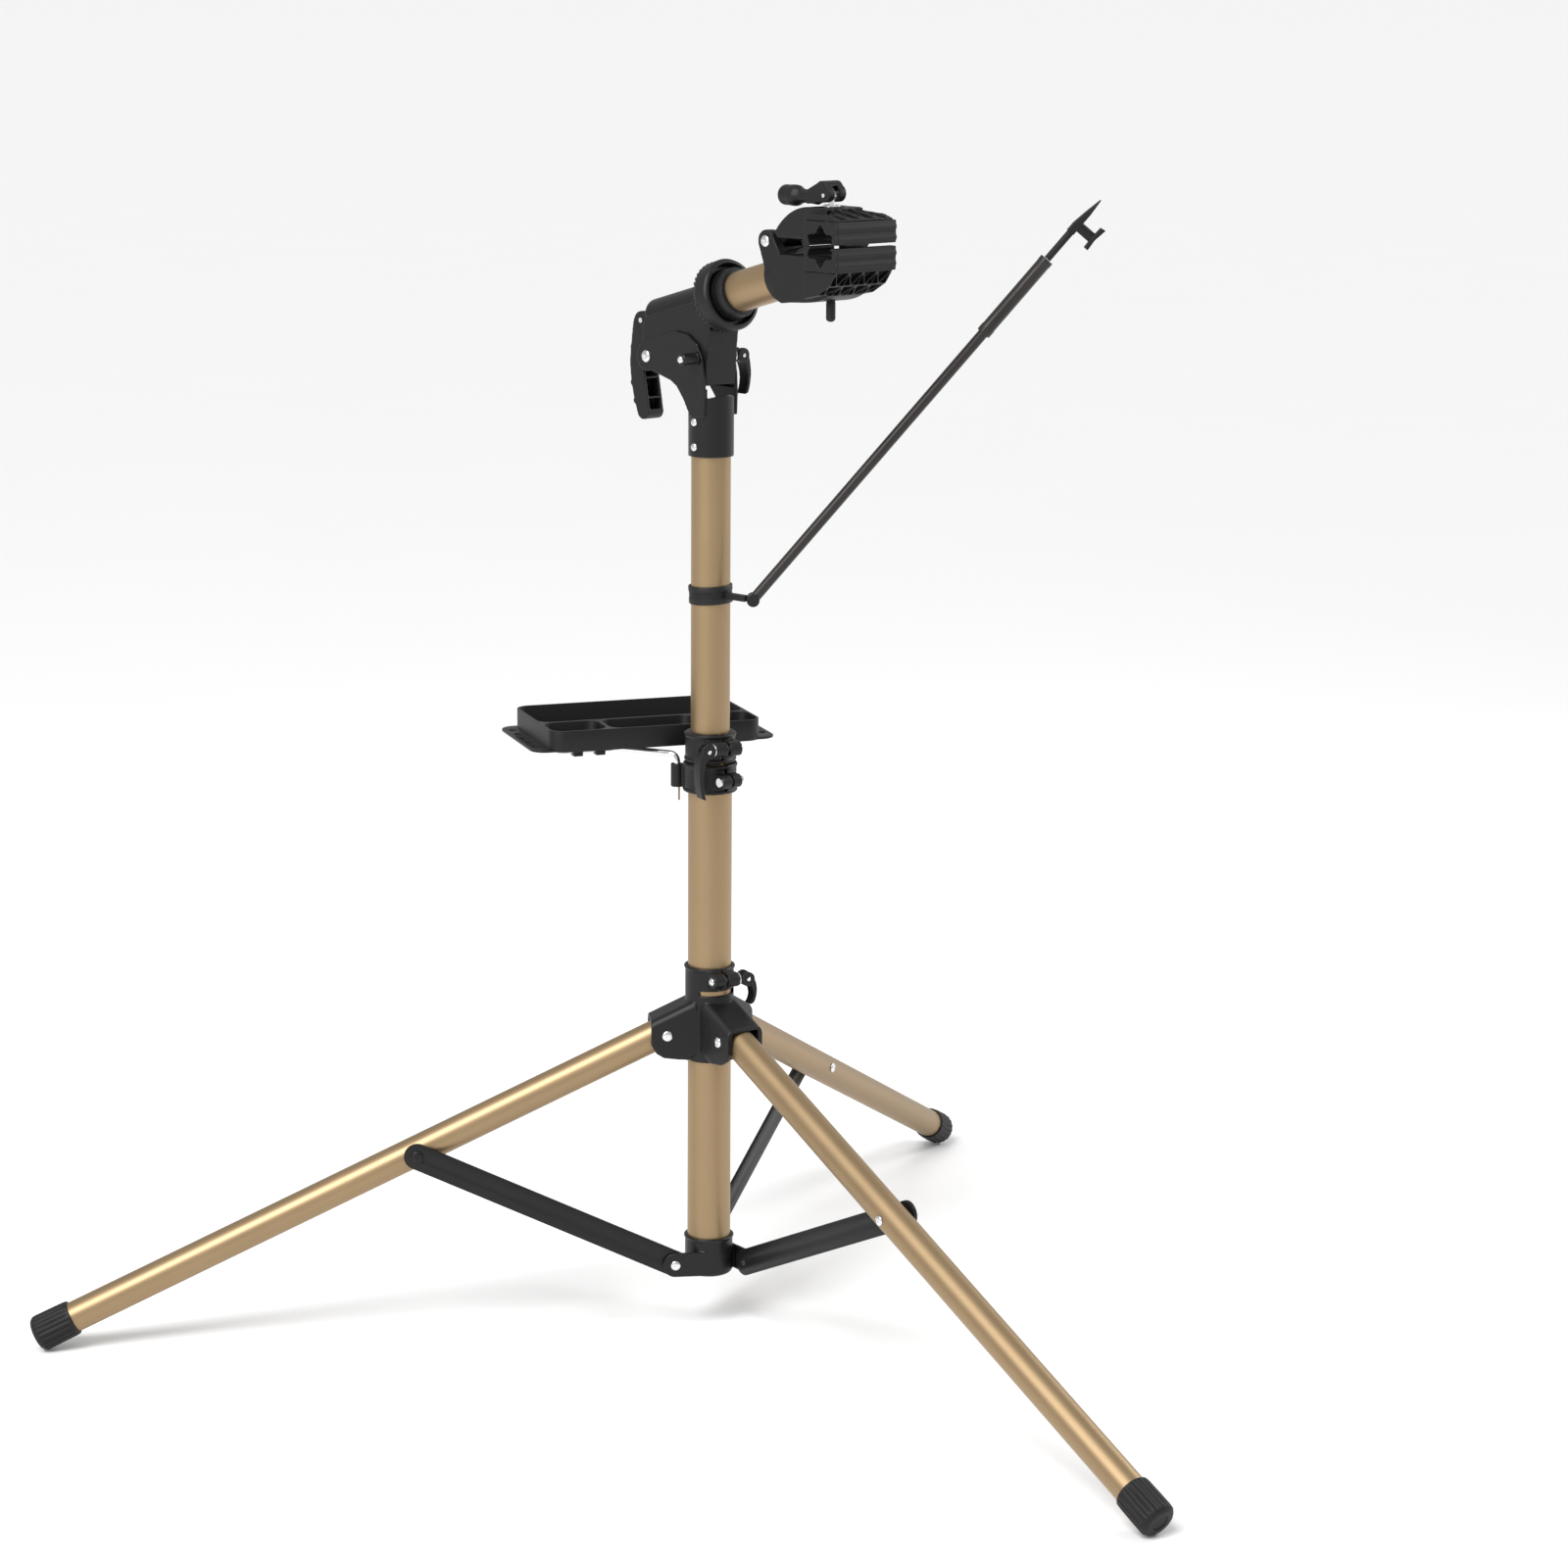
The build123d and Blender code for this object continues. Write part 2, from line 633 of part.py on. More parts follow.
# ---------------------------------------------------------------- head yoke
plate_t = yoke_r - yoke_inner
with BuildPart() as head_yoke:
    with BuildSketch(Plane.XY.offset(yoke_z[0])):
        Circle(yoke_r)
    extrude(amount=yoke_z[1] - yoke_z[0])
    with BuildSketch(upright(arm_azimuth)):
        Polygon(
            (-60, yoke_open_z - 17),
            (-30, yoke_open_z - 17),
            (-6, yoke_open_z - 1),
            (24, yoke_open_z + 9),
            (60, yoke_open_z + 9),
            (60, yoke_open_z + 80),
            (-60, yoke_open_z + 80),
            align=None,
        )
    extrude(amount=yoke_inner - 2, both=True, mode=Mode.SUBTRACT)
    for side in (-1, 1):
        with BuildSketch(upright(arm_azimuth, side * yoke_inner)):
            with Locations(fold_pivot):
                Circle(fold_lobe_r)
            with BuildLine():
                Polyline(
                    (fold_pivot[0] - 4, fold_pivot[1] + fold_lobe_r - 0.6),
                    (-50, 1040),
                    (-30, 1045),
                    (-12, 1043),
                    (3, 1034),
                    (11, 1021),
                    (14, 1003),
                    (15, 985),
                    (14, 962),
                    (-7, 962),
                    (-17, 978),
                    (-27, 990),
                    (-36, 995),
                    (fold_pivot[0] + 6, fold_pivot[1] - fold_lobe_r + 1.2),
                    close=True,
                )
            make_face()
        extrude(amount=-side * plate_t)
    with BuildSketch(Plane.XY.offset(yoke_z[0] - 1)):
        Circle(upper_r + 0.02)
    extrude(amount=yoke_open_z - yoke_z[0] + 1, mode=Mode.SUBTRACT)
    with BuildSketch(upright(arm_azimuth)):
        with Locations(fold_pivot):
            Circle(pivot_bolt_r + 0.02)
        with Locations(head_skewer):
            Circle(skewer_r + 0.02)
        for z in rivet_z:
            with Locations((0, z)):
                Circle(3.92)
    extrude(amount=yoke_r + 5, both=True, mode=Mode.SUBTRACT)
finish(head_yoke, "head_yoke")

with BuildPart() as yoke_rivets:
    for z in rivet_z:
        for side in (-1, 1):
            with BuildSketch(upright(arm_azimuth, side * (upper_r + 0.1))):
                with Locations((0, z)):
                    Circle(3.9)
            extrude(amount=-side * (yoke_r - upper_r + 1.8))
finish(yoke_rivets, "yoke_rivets")

with BuildPart() as fold_bolt:
    with BuildSketch(upright(arm_azimuth)):
        with Locations(fold_pivot):
            Circle(pivot_bolt_r)
    extrude(amount=yoke_r, both=True)
    for side in (-1, 1):
        with BuildSketch(upright(arm_azimuth, side * yoke_r)):
            with Locations(fold_pivot):
                Circle(6.2)
        extrude(amount=-side * 2.8)
finish(fold_bolt, "fold_bolt")

head_skewer_at = head_point(*head_skewer)
quick_release_bolt("head_qr_bolt", head_skewer_at, head_side, head_out, head_nut_reach, head_cam_reach, 3.6)
head_lever_at = head_skewer_at + head_side * head_cam_reach
quick_release_lever("head_qr_lever", head_lever_at, head_side, head_out, 38)
cam_side_end = head_cam_reach - cheek_r - gap - washer_thick - 0.02
nut_side_end = head_nut_reach - nut_len - 0.02
with BuildPart() as head_qr_spacers:
    for side, reach in ((-1, nut_side_end), (1, cam_side_end)):
        with BuildSketch(upright(arm_azimuth, side * (yoke_r + 0.02))):
            with Locations(head_skewer):
                Circle(6.2)
                Circle(skewer_r + 0.02, mode=Mode.SUBTRACT)
        extrude(amount=-side * (reach - yoke_r - 0.02))
finish(head_qr_spacers, "head_qr_spacers")

# ---------------------------------------------------------------- arm housing
web_half = yoke_inner - 0.4
with BuildPart() as arm_housing:
    with BuildSketch(across_arm(housing_s[0])):
        Circle(housing_r)
    extrude(amount=housing_s[1] - housing_s[0])
    fillet(arm_housing.edges().sort_by(Axis(arm_start, arm_dir))[0], radius=3)
    with BuildSketch(upright(arm_azimuth)):
        with Locations(fold_pivot):
            Circle(12)
        with BuildLine():
            Polyline(
                (fold_pivot[0] - 11, fold_pivot[1] + 5),
                (-82, 1048),
                (-78, 1055),
                (18, 1081),
                (20, 1060),
                (17, 1030),
                (14, 993),
                (-14, 993),
                (-18, 1001),
                (-30, 1006),
                (fold_pivot[0] + 6, fold_pivot[1] - 10),
                close=True,
            )
        make_face()
    extrude(amount=web_half, both=True)
    with BuildSketch(upright(arm_azimuth)):
        with BuildLine():
            Polyline((-60, 1000), (-60, 1030), (-22, 1038), (-16, 1038), (-22, 1000), close=True)
        make_face()
    extrude(amount=web_half - 5, both=True, mode=Mode.SUBTRACT)
    with BuildSketch(upright(arm_azimuth)):
        with Locations(head_skewer):
            Circle(5.0)
        with BuildLine():
            Polyline((-2.5, 1020), (-7.0, 990), (3.2, 990), (7.5, 1020), close=True)
        make_face()
        with Locations(fold_pivot):
            Circle(pivot_bolt_r + slip)
    extrude(amount=web_half + 1, both=True, mode=Mode.SUBTRACT)
    with BuildSketch(across_arm(housing_s[1])):
        Circle(2 * ring_r)
    extrude(amount=40, mode=Mode.SUBTRACT)
    with BuildSketch(across_arm(spindle_s - 4)):
        Circle(spindle_r + slip)
    extrude(amount=housing_s[1] - spindle_s + 12, mode=Mode.SUBTRACT)
    with BuildSketch(across_arm(housing_s[0] - 1)):
        Circle(drawbar_r + 0.02)
    extrude(amount=30, mode=Mode.SUBTRACT)
finish(arm_housing, "arm_housing")

with BuildPart() as index_ring:
    with BuildSketch(across_arm(ring_s[0] + 0.02)):
        Circle(ring_r)
    extrude(amount=ring_s[1] - ring_s[0])
    fillet(index_ring.edges().sort_by(Axis(arm_start, arm_dir))[-1], radius=3)
    with BuildSketch(across_arm(ring_s[1] - 8)):
        Circle(ring_r - 5)
        Circle(cup_r + 1, mode=Mode.SUBTRACT)
    extrude(amount=10, mode=Mode.SUBTRACT)
    with BuildSketch(across_arm(ring_s[0])):
        Circle(spindle_r + slip)
    extrude(amount=ring_s[1], mode=Mode.SUBTRACT)
finish(index_ring, "index_ring")

with BuildPart() as drawbar:
    with BuildSketch(across_arm(lock_pivot_s)):
        Circle(drawbar_r)
    extrude(amount=spindle_s - 4 - lock_pivot_s)
    lock_pin_plane = Plane(origin=arm_start + arm_dir * lock_pivot_s, x_dir=arm_dir, z_dir=head_side * -1)
    with BuildSketch(lock_pin_plane):
        Circle(6)
    extrude(amount=4, both=True)
    with BuildSketch(lock_pin_plane):
        Circle(2.6)
    extrude(amount=11.5, both=True)
finish(drawbar, "drawbar")

# handle outline in the head's plane, as (u, z), hanging from the drawbar's pin
lock_pin = arm_start + arm_dir * lock_pivot_s
lock_u = lock_pin.dot(head_out)
lock_z = lock_pin.Z
with BuildPart() as lock_lever:
    with BuildSketch(upright(arm_azimuth)):
        with BuildLine():
            back = Spline(
                (lock_u + 6, lock_z + 9),
                (lock_u - 8, lock_z + 6),
                (lock_u - 14, lock_z - 14),
                (lock_u - 17, lock_z - 44),
                (lock_u - 13, lock_z - 72),
                (lock_u - 5, lock_z - 96),
            )
            tip = ThreePointArc(back @ 1, (lock_u + 5, lock_z - 100), (lock_u + 11, lock_z - 92))
            Polyline(
                tip @ 1,
                (lock_u + 7, lock_z - 70),
                (lock_u + 2, lock_z - 44),
                (lock_u + 3, lock_z - 16),
                (lock_u + 8, lock_z - 8),
                (lock_u + 9, lock_z + 4),
                back @ 0,
            )
        make_face()
    extrude(amount=10.5, both=True)
    with BuildSketch(lock_pin_plane):
        Circle(6 + gap * 2)
        Polygon((-3.8, -1.3), (-10.0, 16), (18, 16), (18, -6.6), (-1, -6.6), align=None)
    extrude(amount=4 + gap, both=True, mode=Mode.SUBTRACT)
    with BuildSketch(lock_pin_plane):
        Circle(2.6 + slip)
    extrude(amount=12, both=True, mode=Mode.SUBTRACT)
finish(lock_lever, "lock_lever")

# ---------------------------------------------------------------- arm
with BuildPart() as arm_spindle:
    with BuildSketch(across_arm(spindle_s)):
        Circle(spindle_r)
    extrude(amount=cup_s[0] + 3 - spindle_s)
    with BuildSketch(across_arm(cup_s[0] + 3)):
        Circle(arm_r - arm_wall - 0.02)
    extrude(amount=26)
finish(arm_spindle, "arm_spindle")

with BuildPart() as arm_cup:
    with BuildSketch(across_arm(cup_s[0])):
        Circle(cup_r)
    extrude(amount=cup_s[1] - cup_s[0])
    fillet(arm_cup.edges().sort_by(Axis(arm_start, arm_dir))[-1], radius=2)
    with BuildSketch(across_arm(cup_s[0] - 1)):
        Circle(spindle_r + 0.02)
    extrude(amount=5, mode=Mode.SUBTRACT)
    with BuildSketch(across_arm(cup_s[0] + 2.98)):
        Circle(arm_r + 0.02)
    extrude(amount=20, mode=Mode.SUBTRACT)
finish(arm_cup, "arm_cup")

with BuildPart() as arm_tube:
    with BuildSketch(across_arm(cup_s[0] + 3)):
        Circle(arm_r)
        Circle(arm_r - arm_wall, mode=Mode.SUBTRACT)
    extrude(amount=sleeve_s[1] - 6 - cup_s[0] - 3)
finish(arm_tube, "arm_tube")

# ---------------------------------------------------------------- clamp
head_plane = upright(arm_azimuth)
lug_gap = 12.0
lug_out = 22.0
with BuildPart() as clamp_body:
    with BuildSketch(across_arm(sleeve_s[0])):
        Circle(sleeve_r)
    extrude(amount=sleeve_s[1] - sleeve_s[0])
    with BuildSketch(head_plane):
        with Locations(jaw_pivot):
            Circle(jaw_lobe_r)
        with BuildLine():
            Polyline(
                (jaw_pivot[0] - 10.5, jaw_pivot[1] - 3),
                (jaw_pivot[0] - 2, 1116),
                (104, 1100),
                (140, 1110),
                (140, 1128),
                (122, 1130),
                (jaw_pivot[0] + 9, jaw_pivot[1] + 6),
                close=True,
            )
        make_face()
    extrude(amount=lug_out, both=True)
    with BuildSketch(head_plane):
        with BuildLine():
            lower_edge = Polyline(
                (122, 1130),
                (172, 1130),
                (172, jaw_split_z - pad_thick),
                (217, jaw_split_z - pad_thick),
                (207, 1104),
                (190, 1093),
            )
            belly = Spline(lower_edge @ 1, (176, 1088), (156, 1085.5), (126, 1083))
            Polyline(belly @ 1, (114, 1088), (114, 1118), (122, 1130))
        make_face()
    extrude(amount=jaw_body_half, both=True)
    with BuildSketch(head_plane):
        with BuildLine():
            Polyline(
                (172, jaw_split_z - pad_thick),
                (217, jaw_split_z - pad_thick),
                (208, 1105),
                (191, 1095),
                (172, 1091),
                close=True,
            )
        make_face()
    extrude(amount=jaw_wing_half, both=True)
    with BuildSketch(head_plane):
        with Locations(jaw_pivot):
            Circle(jaw_lobe_r + 5)
    extrude(amount=lug_gap, both=True, mode=Mode.SUBTRACT)
    with BuildSketch(head_plane):
        with Locations(jaw_pivot):
            Circle(3.02)
    extrude(amount=lug_out + 2, both=True, mode=Mode.SUBTRACT)
    with BuildSketch(across_arm(cup_s[1])):
        Circle(arm_r + 0.02)
    extrude(amount=sleeve_s[1] - 6 - cup_s[1], mode=Mode.SUBTRACT)
    with BuildSketch(Plane(origin=head_point(clamp_rod_u, 1060), x_dir=head_out, z_dir=UP)):
        Circle(rod_cap_r + gap)
    extrude(amount=52, mode=Mode.SUBTRACT)
    with BuildSketch(Plane(origin=head_point(clamp_rod_u, 1100), x_dir=head_out, z_dir=UP)):
        Circle(clamp_rod_r + slip)
    extrude(amount=50, mode=Mode.SUBTRACT)
finish(clamp_body, "clamp_body")

with BuildPart() as jaw_bolt:
    with BuildSketch(head_plane):
        with Locations(jaw_pivot):
            Circle(3.0)
    extrude(amount=lug_out, both=True)
    for side in (-1, 1):
        with BuildSketch(upright(arm_azimuth, side * lug_out)):
            with Locations(jaw_pivot):
                Circle(5.8)
        extrude(amount=-side * 2.6)
finish(jaw_bolt, "jaw_bolt")

rod_slot = (clamp_rod_u - 5.0, clamp_rod_u + 14.0)
with BuildPart() as upper_jaw:
    with BuildSketch(head_plane):
        with Locations(jaw_pivot):
            Circle(jaw_lobe_r - 1)
        with BuildLine():
            Polyline(
                (jaw_pivot[0], jaw_pivot[1] + 10),
                (jaw_pivot[0] + 20, 1158),
                (jaw_pivot[0] + 22, 1145),
                (jaw_pivot[0] + 9, 1137.5),
                close=True,
            )
        make_face()
    extrude(amount=lug_gap - gap, both=True)
    with BuildSketch(head_plane):
        with BuildLine():
            dome = Spline((117, 1152), (132, 1167), (152, jaw_top_z - 1), (168, jaw_top_z))
            Polyline(
                dome @ 1,
                (186, jaw_top_z),
                (205, 1172),
                (217, 1168),
                (217, jaw_split_z + pad_thick),
                (172, jaw_split_z + pad_thick),
                (172, 1146),
                (120, 1146),
                dome @ 0,
            )
        make_face()
    extrude(amount=jaw_body_half, both=True)
    with BuildSketch(head_plane):
        with BuildLine():
            Polyline(
                (172, jaw_split_z + pad_thick),
                (217, jaw_split_z + pad_thick),
                (217, 1167),
                (205, 1171),
                (172, 1173),
                close=True,
            )
        make_face()
    extrude(amount=jaw_wing_half, both=True)
    with BuildSketch(head_plane):
        with Locations(jaw_pivot):
            Circle(3.0 + slip)
    extrude(amount=lug_gap + 1, both=True, mode=Mode.SUBTRACT)
    with BuildSketch(head_plane):
        with Locations(((rod_slot[0] + rod_slot[1]) / 2, 1160)):
            Rectangle(rod_slot[1] - rod_slot[0], 60)
    extrude(amount=4.6, both=True, mode=Mode.SUBTRACT)
finish(upper_jaw, "upper_jaw")

spike = 5.5
for name, way, mouth in (("upper_pad", 1, 2.2), ("lower_pad", -1, 0.9)):
    with BuildPart() as pad:
        with BuildSketch(head_plane):
            with BuildLine():
                Polyline(
                    (pad_u[0], jaw_split_z + way * 0.3),
                    (pad_u[1], jaw_split_z + way * mouth),
                    (pad_u[1], jaw_split_z + way * (pad_thick - 0.1)),
                    (pad_u[0], jaw_split_z + way * (pad_thick - 0.1)),
                    close=True,
                )
            make_face()
            with Locations((groove_u, jaw_split_z)):
                Circle(groove_r, mode=Mode.SUBTRACT)
                with PolarLocations(groove_point - spike, 6, start_angle=30):
                    RegularPolygon(spike, 4, mode=Mode.SUBTRACT)
        extrude(amount=pad_half, both=True)
        with BuildSketch(head_plane):
            with Locations((pad_u[0] + 2.5, jaw_split_z + way * pad_thick / 2)):
                Rectangle(15, pad_thick + 4)
        extrude(amount=6.5, both=True, mode=Mode.SUBTRACT)
    finish(pad, name)

with BuildPart() as clamp_rod:
    with BuildSketch(Plane(origin=head_point(clamp_rod_u, 1070), x_dir=head_out, z_dir=UP)):
        Circle(clamp_rod_r)
    extrude(amount=cam_z - 1070)
    cam_plane = Plane(origin=head_point(clamp_rod_u, cam_z), x_dir=head_out, z_dir=head_side * -1)
    with BuildSketch(cam_plane):
        Circle(5)
    extrude(amount=eye_half + 0.6, both=True)
    with BuildSketch(cam_plane):
        Circle(pin_r)
    extrude(amount=cam_half + 0.8, both=True)
finish(clamp_rod, "clamp_rod")

with BuildPart() as clamp_washer:
    with BuildSketch(Plane(origin=head_point(clamp_rod_u, jaw_top_z + gap), x_dir=head_out, z_dir=UP)):
        Circle(8.5)
        Circle(clamp_rod_r + 0.02, mode=Mode.SUBTRACT)
    extrude(amount=clamp_washer_thick)
finish(clamp_washer, "clamp_washer")

with BuildPart() as clamp_rod_cap:
    with BuildSketch(Plane(origin=head_point(clamp_rod_u, 1067), x_dir=head_out, z_dir=UP)):
        Circle(rod_cap_r)
    extrude(amount=21)
    fillet(clamp_rod_cap.edges().group_by(Axis.Z)[0], radius=2)
    with BuildSketch(Plane(origin=head_point(clamp_rod_u, 1069.98), x_dir=head_out, z_dir=UP)):
        Circle(clamp_rod_r + 0.02)
    extrude(amount=21, mode=Mode.SUBTRACT)
finish(clamp_rod_cap, "clamp_rod_cap")

grip_z = cam_z - 2.5
with BuildPart() as cam_lever:
    with BuildSketch(cam_plane):
        with Locations((0.6, 1.6)):
            Circle(8.2)
        with Locations((-3.4, 5.4)):
            Circle(8.4)
        Polygon((-6, 13), (-24, 4.4), (-24, -9.0), (-3, -6.4), (4, 4), align=None)
    extrude(amount=cam_half, both=True)
    with BuildSketch(Plane(origin=head_point(clamp_rod_u - 20, grip_z), x_dir=head_side, z_dir=head_out * -1)):
        Circle(6.4)
    extrude(amount=clamp_rod_u - 20 - knob_u)
    with BuildSketch(Plane(origin=head_point(knob_u + 8, grip_z), x_dir=head_side, z_dir=head_out * -1)):
        Circle(10)
    extrude(amount=16)
    fillet(cam_lever.edges().sort_by(Axis(head_point(0, 0), head_out))[0], radius=6)
    with BuildSketch(cam_plane):
        Circle(5 + gap * 2)
        Polygon((-3.6, 5), (-3.6, -20), (18, -20), (18, 9), (0, 9), align=None)
    extrude(amount=eye_half + 0.6 + gap, both=True, mode=Mode.SUBTRACT)
    with BuildSketch(cam_plane):
        Circle(pin_r + slip)
    extrude(amount=cam_half + 1, both=True, mode=Mode.SUBTRACT)
finish(cam_lever, "cam_lever")

# ---------------------------------------------------------------- support rod
rod_out = radial(rod_azimuth)
rod_side = tangent(rod_azimuth)
rod_dir = rod_out * math.cos(math.radians(rod_rise)) + UP * math.sin(math.radians(rod_rise))
rod_root = Vector(*rod_pivot)


def across_rod(s):
    return Plane(origin=rod_root + rod_dir * s, x_dir=rod_side, z_dir=rod_dir)


with BuildPart() as post_strap:
    with BuildSketch(Plane.XY.offset(band_z[0])):
        Circle(upper_r + 2.4)
        Circle(upper_r + 0.02, mode=Mode.SUBTRACT)
    extrude(amount=band_z[1] - band_z[0])
finish(post_strap, "post_strap")

link_start = Vector(rod_pivot[0], rod_pivot[1], 0)
link_azimuth = math.degrees(math.atan2(rod_pivot[1], rod_pivot[0]))
link_len = math.hypot(rod_pivot[0], rod_pivot[1])
with BuildPart() as strap_link:
    with BuildSketch(upright(link_azimuth)):
        with Locations(((upper_r + 2.4 + link_len - 8) / 2, rod_pivot[2])):
            Rectangle(link_len - 8 - upper_r - 2.4, 6)
    extrude(amount=4, both=True)
    fork_plane = Plane(origin=rod_root, x_dir=rod_out, z_dir=rod_side * -1)
    with BuildSketch(fork_plane):
        Circle(6.5)
    extrude(amount=8, both=True)
    with BuildSketch(fork_plane):
        Circle(8)
        with Locations((14, 0)):
            Rectangle(28, 30)
    extrude(amount=rod_inner_r + gap, both=True, mode=Mode.SUBTRACT)
    with BuildSketch(fork_plane):
        Circle(2.5)
    extrude(amount=8, both=True)
    with BuildSketch(Plane.XY.offset(band_z[0])):
        Circle(upper_r + 2.42)
    extrude(amount=30, mode=Mode.SUBTRACT)
finish(strap_link, "strap_link")

with BuildPart() as rod_lower:
    with BuildSketch(fork_plane):
        Circle(6)
    extrude(amount=4, both=True)
    with BuildSketch(across_rod(3)):
        Circle(rod_inner_r)
    extrude(amount=rod_inner_len - 3)
    with BuildSketch(fork_plane):
        Circle(2.5 + slip)
    extrude(amount=6, both=True, mode=Mode.SUBTRACT)
finish(rod_lower, "rod_lower")

with BuildPart() as rod_upper:
    with BuildSketch(across_rod(rod_outer_s[0])):
        Circle(rod_outer_r)
    extrude(amount=rod_outer_s[1] - rod_outer_s[0])
    with BuildSketch(across_rod(rod_outer_s[0] - 1)):
        Circle(rod_inner_r + slip)
    extrude(amount=rod_outer_s[1] - rod_outer_s[0] - 3, mode=Mode.SUBTRACT)
finish(rod_upper, "rod_upper")

hook_root = rod_root + rod_dir * (rod_outer_s[1] + gap)


def rod_plane_point(along, across):
    """Point in the rod's upright plane: along the rod, and to its right seen from the front."""
    right = rod_out * math.sin(math.radians(rod_rise)) - UP * math.cos(math.radians(rod_rise))
    return hook_root + rod_dir * along + right * across


right_dir = rod_plane_point(0, 1) - hook_root
hook_plane = Plane(origin=hook_root, x_dir=right_dir, z_dir=rod_side * -1)
with BuildPart() as rod_hook:
    with BuildSketch(Plane(origin=hook_root, x_dir=rod_side, z_dir=rod_dir)):
        Circle(3.6)
    extrude(amount=48)
    with BuildSketch(Plane(origin=rod_plane_point(44, -3), x_dir=rod_side, z_dir=right_dir)):
        Circle(5.2)
    extrude(amount=24)
    with BuildSketch(hook_plane):
        with BuildLine():
            Polyline((-4, 34), (3.5, 34), (3.5, 60), (2, 78), (-1.5, 60), (-4, 44), close=True)
        make_face()
        with BuildLine():
            Polyline((20, 32), (24, 32), (23, 44), (25, 58), (20, 57), (19.5, 44), close=True)
        make_face()
    extrude(amount=6, both=True)
finish(rod_hook, "rod_hook")
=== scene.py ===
"""Looks for a folding bicycle repair stand: moulded hubs, jaws and levers, anodised tubes, rubber feet."""

import math

import bmesh
import bpy
from bpy.props import FloatProperty, FloatVectorProperty, IntProperty, PointerProperty
from mathutils import Matrix, Vector


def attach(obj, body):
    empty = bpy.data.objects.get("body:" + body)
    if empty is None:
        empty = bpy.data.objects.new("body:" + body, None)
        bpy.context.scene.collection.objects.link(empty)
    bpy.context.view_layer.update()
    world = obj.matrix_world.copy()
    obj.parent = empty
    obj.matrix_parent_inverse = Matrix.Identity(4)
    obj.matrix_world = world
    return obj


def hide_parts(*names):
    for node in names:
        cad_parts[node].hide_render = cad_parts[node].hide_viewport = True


bl_info = {
    "name": "Bicycle repair stand",
    "version": (1, 0, 0),
    "blender": (4, 5, 0),
    "location": "View3D > Sidebar > Repair stand",
    "description": "Builds the finished pieces of a folding bicycle repair stand round its frame",
    "category": "Object",
}

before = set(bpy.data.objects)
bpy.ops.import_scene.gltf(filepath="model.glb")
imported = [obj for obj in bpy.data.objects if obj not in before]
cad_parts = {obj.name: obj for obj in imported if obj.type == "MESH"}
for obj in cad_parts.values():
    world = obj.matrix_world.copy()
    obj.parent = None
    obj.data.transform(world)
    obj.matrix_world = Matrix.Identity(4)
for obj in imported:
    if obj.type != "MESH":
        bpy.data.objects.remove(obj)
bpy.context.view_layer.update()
MM = 0.001
UP = Vector((0, 0, 1))
ORIGIN = Vector((0, 0, 0))
LEGS = {"left": 180.0, "front": 300.0, "back": 60.0}
LEG_SPREAD = math.radians(64.75)
LEG_PIVOT = (45.8, 323.0)
FOOT_CAP_LENGTH = 43.0
FOOT_CAP_EDGE = 5.0
FOOT_CAP_EDGE_RADIUS = 14.0
STRUT_PIVOT = (37.4, 74.8)
STRUT_BOLT = 286.0
STRUT_FACE = 17.4
STRUT_THICK = 4.0
STRUT_HALF = 13.5
HUB_SEAT = 24.6
ARM_AZIMUTH = -54.0
ARM_TILT = math.radians(15.3)
EAR_AZIMUTH = -68.0
FOLD_PIVOT = (-72.0, 1016.5)
HEAD_RELEASE = (2.5, 1020.0)
JAW_PIVOT = (102.0, 1141.5)
CLAMP_ROD_OUT = 171.0
JAW_MIDDLE = 1142.0

FLOOR_REACH = 400.0
LIGHT_TARGET = (0, 0, 0.7)
CAMERA_SPOT = (-0.4148, -3.7813, 1.406)
CAMERA_HEADING = math.radians(82.6)
CAMERA_PITCH = math.radians(-12.2)
CAMERA_ROLL = math.radians(0.41)
ZINC = (0.78, 0.78, 0.80)
CHROME = (0.86, 0.86, 0.88)
ROD_BLACK = (0.022, 0.019, 0.018)


# ------------------------------------------------------------------ places, in millimetres
def outward(azimuth):
    return Vector((math.cos(math.radians(azimuth)), math.sin(math.radians(azimuth)), 0))


def sideways(azimuth):
    return Vector((-math.sin(math.radians(azimuth)), math.cos(math.radians(azimuth)), 0))


HEAD_OUT = outward(ARM_AZIMUTH)
HEAD_SIDE = sideways(ARM_AZIMUTH)
ARM = HEAD_OUT * math.cos(ARM_TILT) + UP * math.sin(ARM_TILT)
ARM_FOOT = UP * 1076.1


def head_point(u, z, n=0.0):
    return HEAD_OUT * u + HEAD_SIDE * n + UP * z


def arm_point(s):
    return ARM_FOOT + ARM * s


def leg_way(azimuth):
    """From a leg's pivot towards its foot."""
    return outward(azimuth) * math.sin(LEG_SPREAD) - UP * math.cos(LEG_SPREAD)


def leg_pivot(azimuth):
    return outward(azimuth) * LEG_PIVOT[0] + UP * LEG_PIVOT[1]


def strut_pivot(azimuth):
    return outward(azimuth) * STRUT_PIVOT[0] + UP * STRUT_PIVOT[1]


# ------------------------------------------------------------------ shader maths
class Value:
    """A node's output that adds, subtracts and multiplies like a number."""

    def __init__(self, finish, socket):
        self.finish = finish
        self.socket = socket

    def _with(self, operation, *others):
        settings = {"operation": operation}
        return self.finish.node("ShaderNodeMath", settings, dict(enumerate(others)))

    def __add__(self, other):
        return self._with("ADD", self, other)

    __radd__ = __add__

    def __sub__(self, other):
        return self._with("SUBTRACT", self, other)

    def __rsub__(self, other):
        return self._with("SUBTRACT", other, self)

    def __mul__(self, other):
        return self._with("MULTIPLY", self, other)

    __rmul__ = __mul__


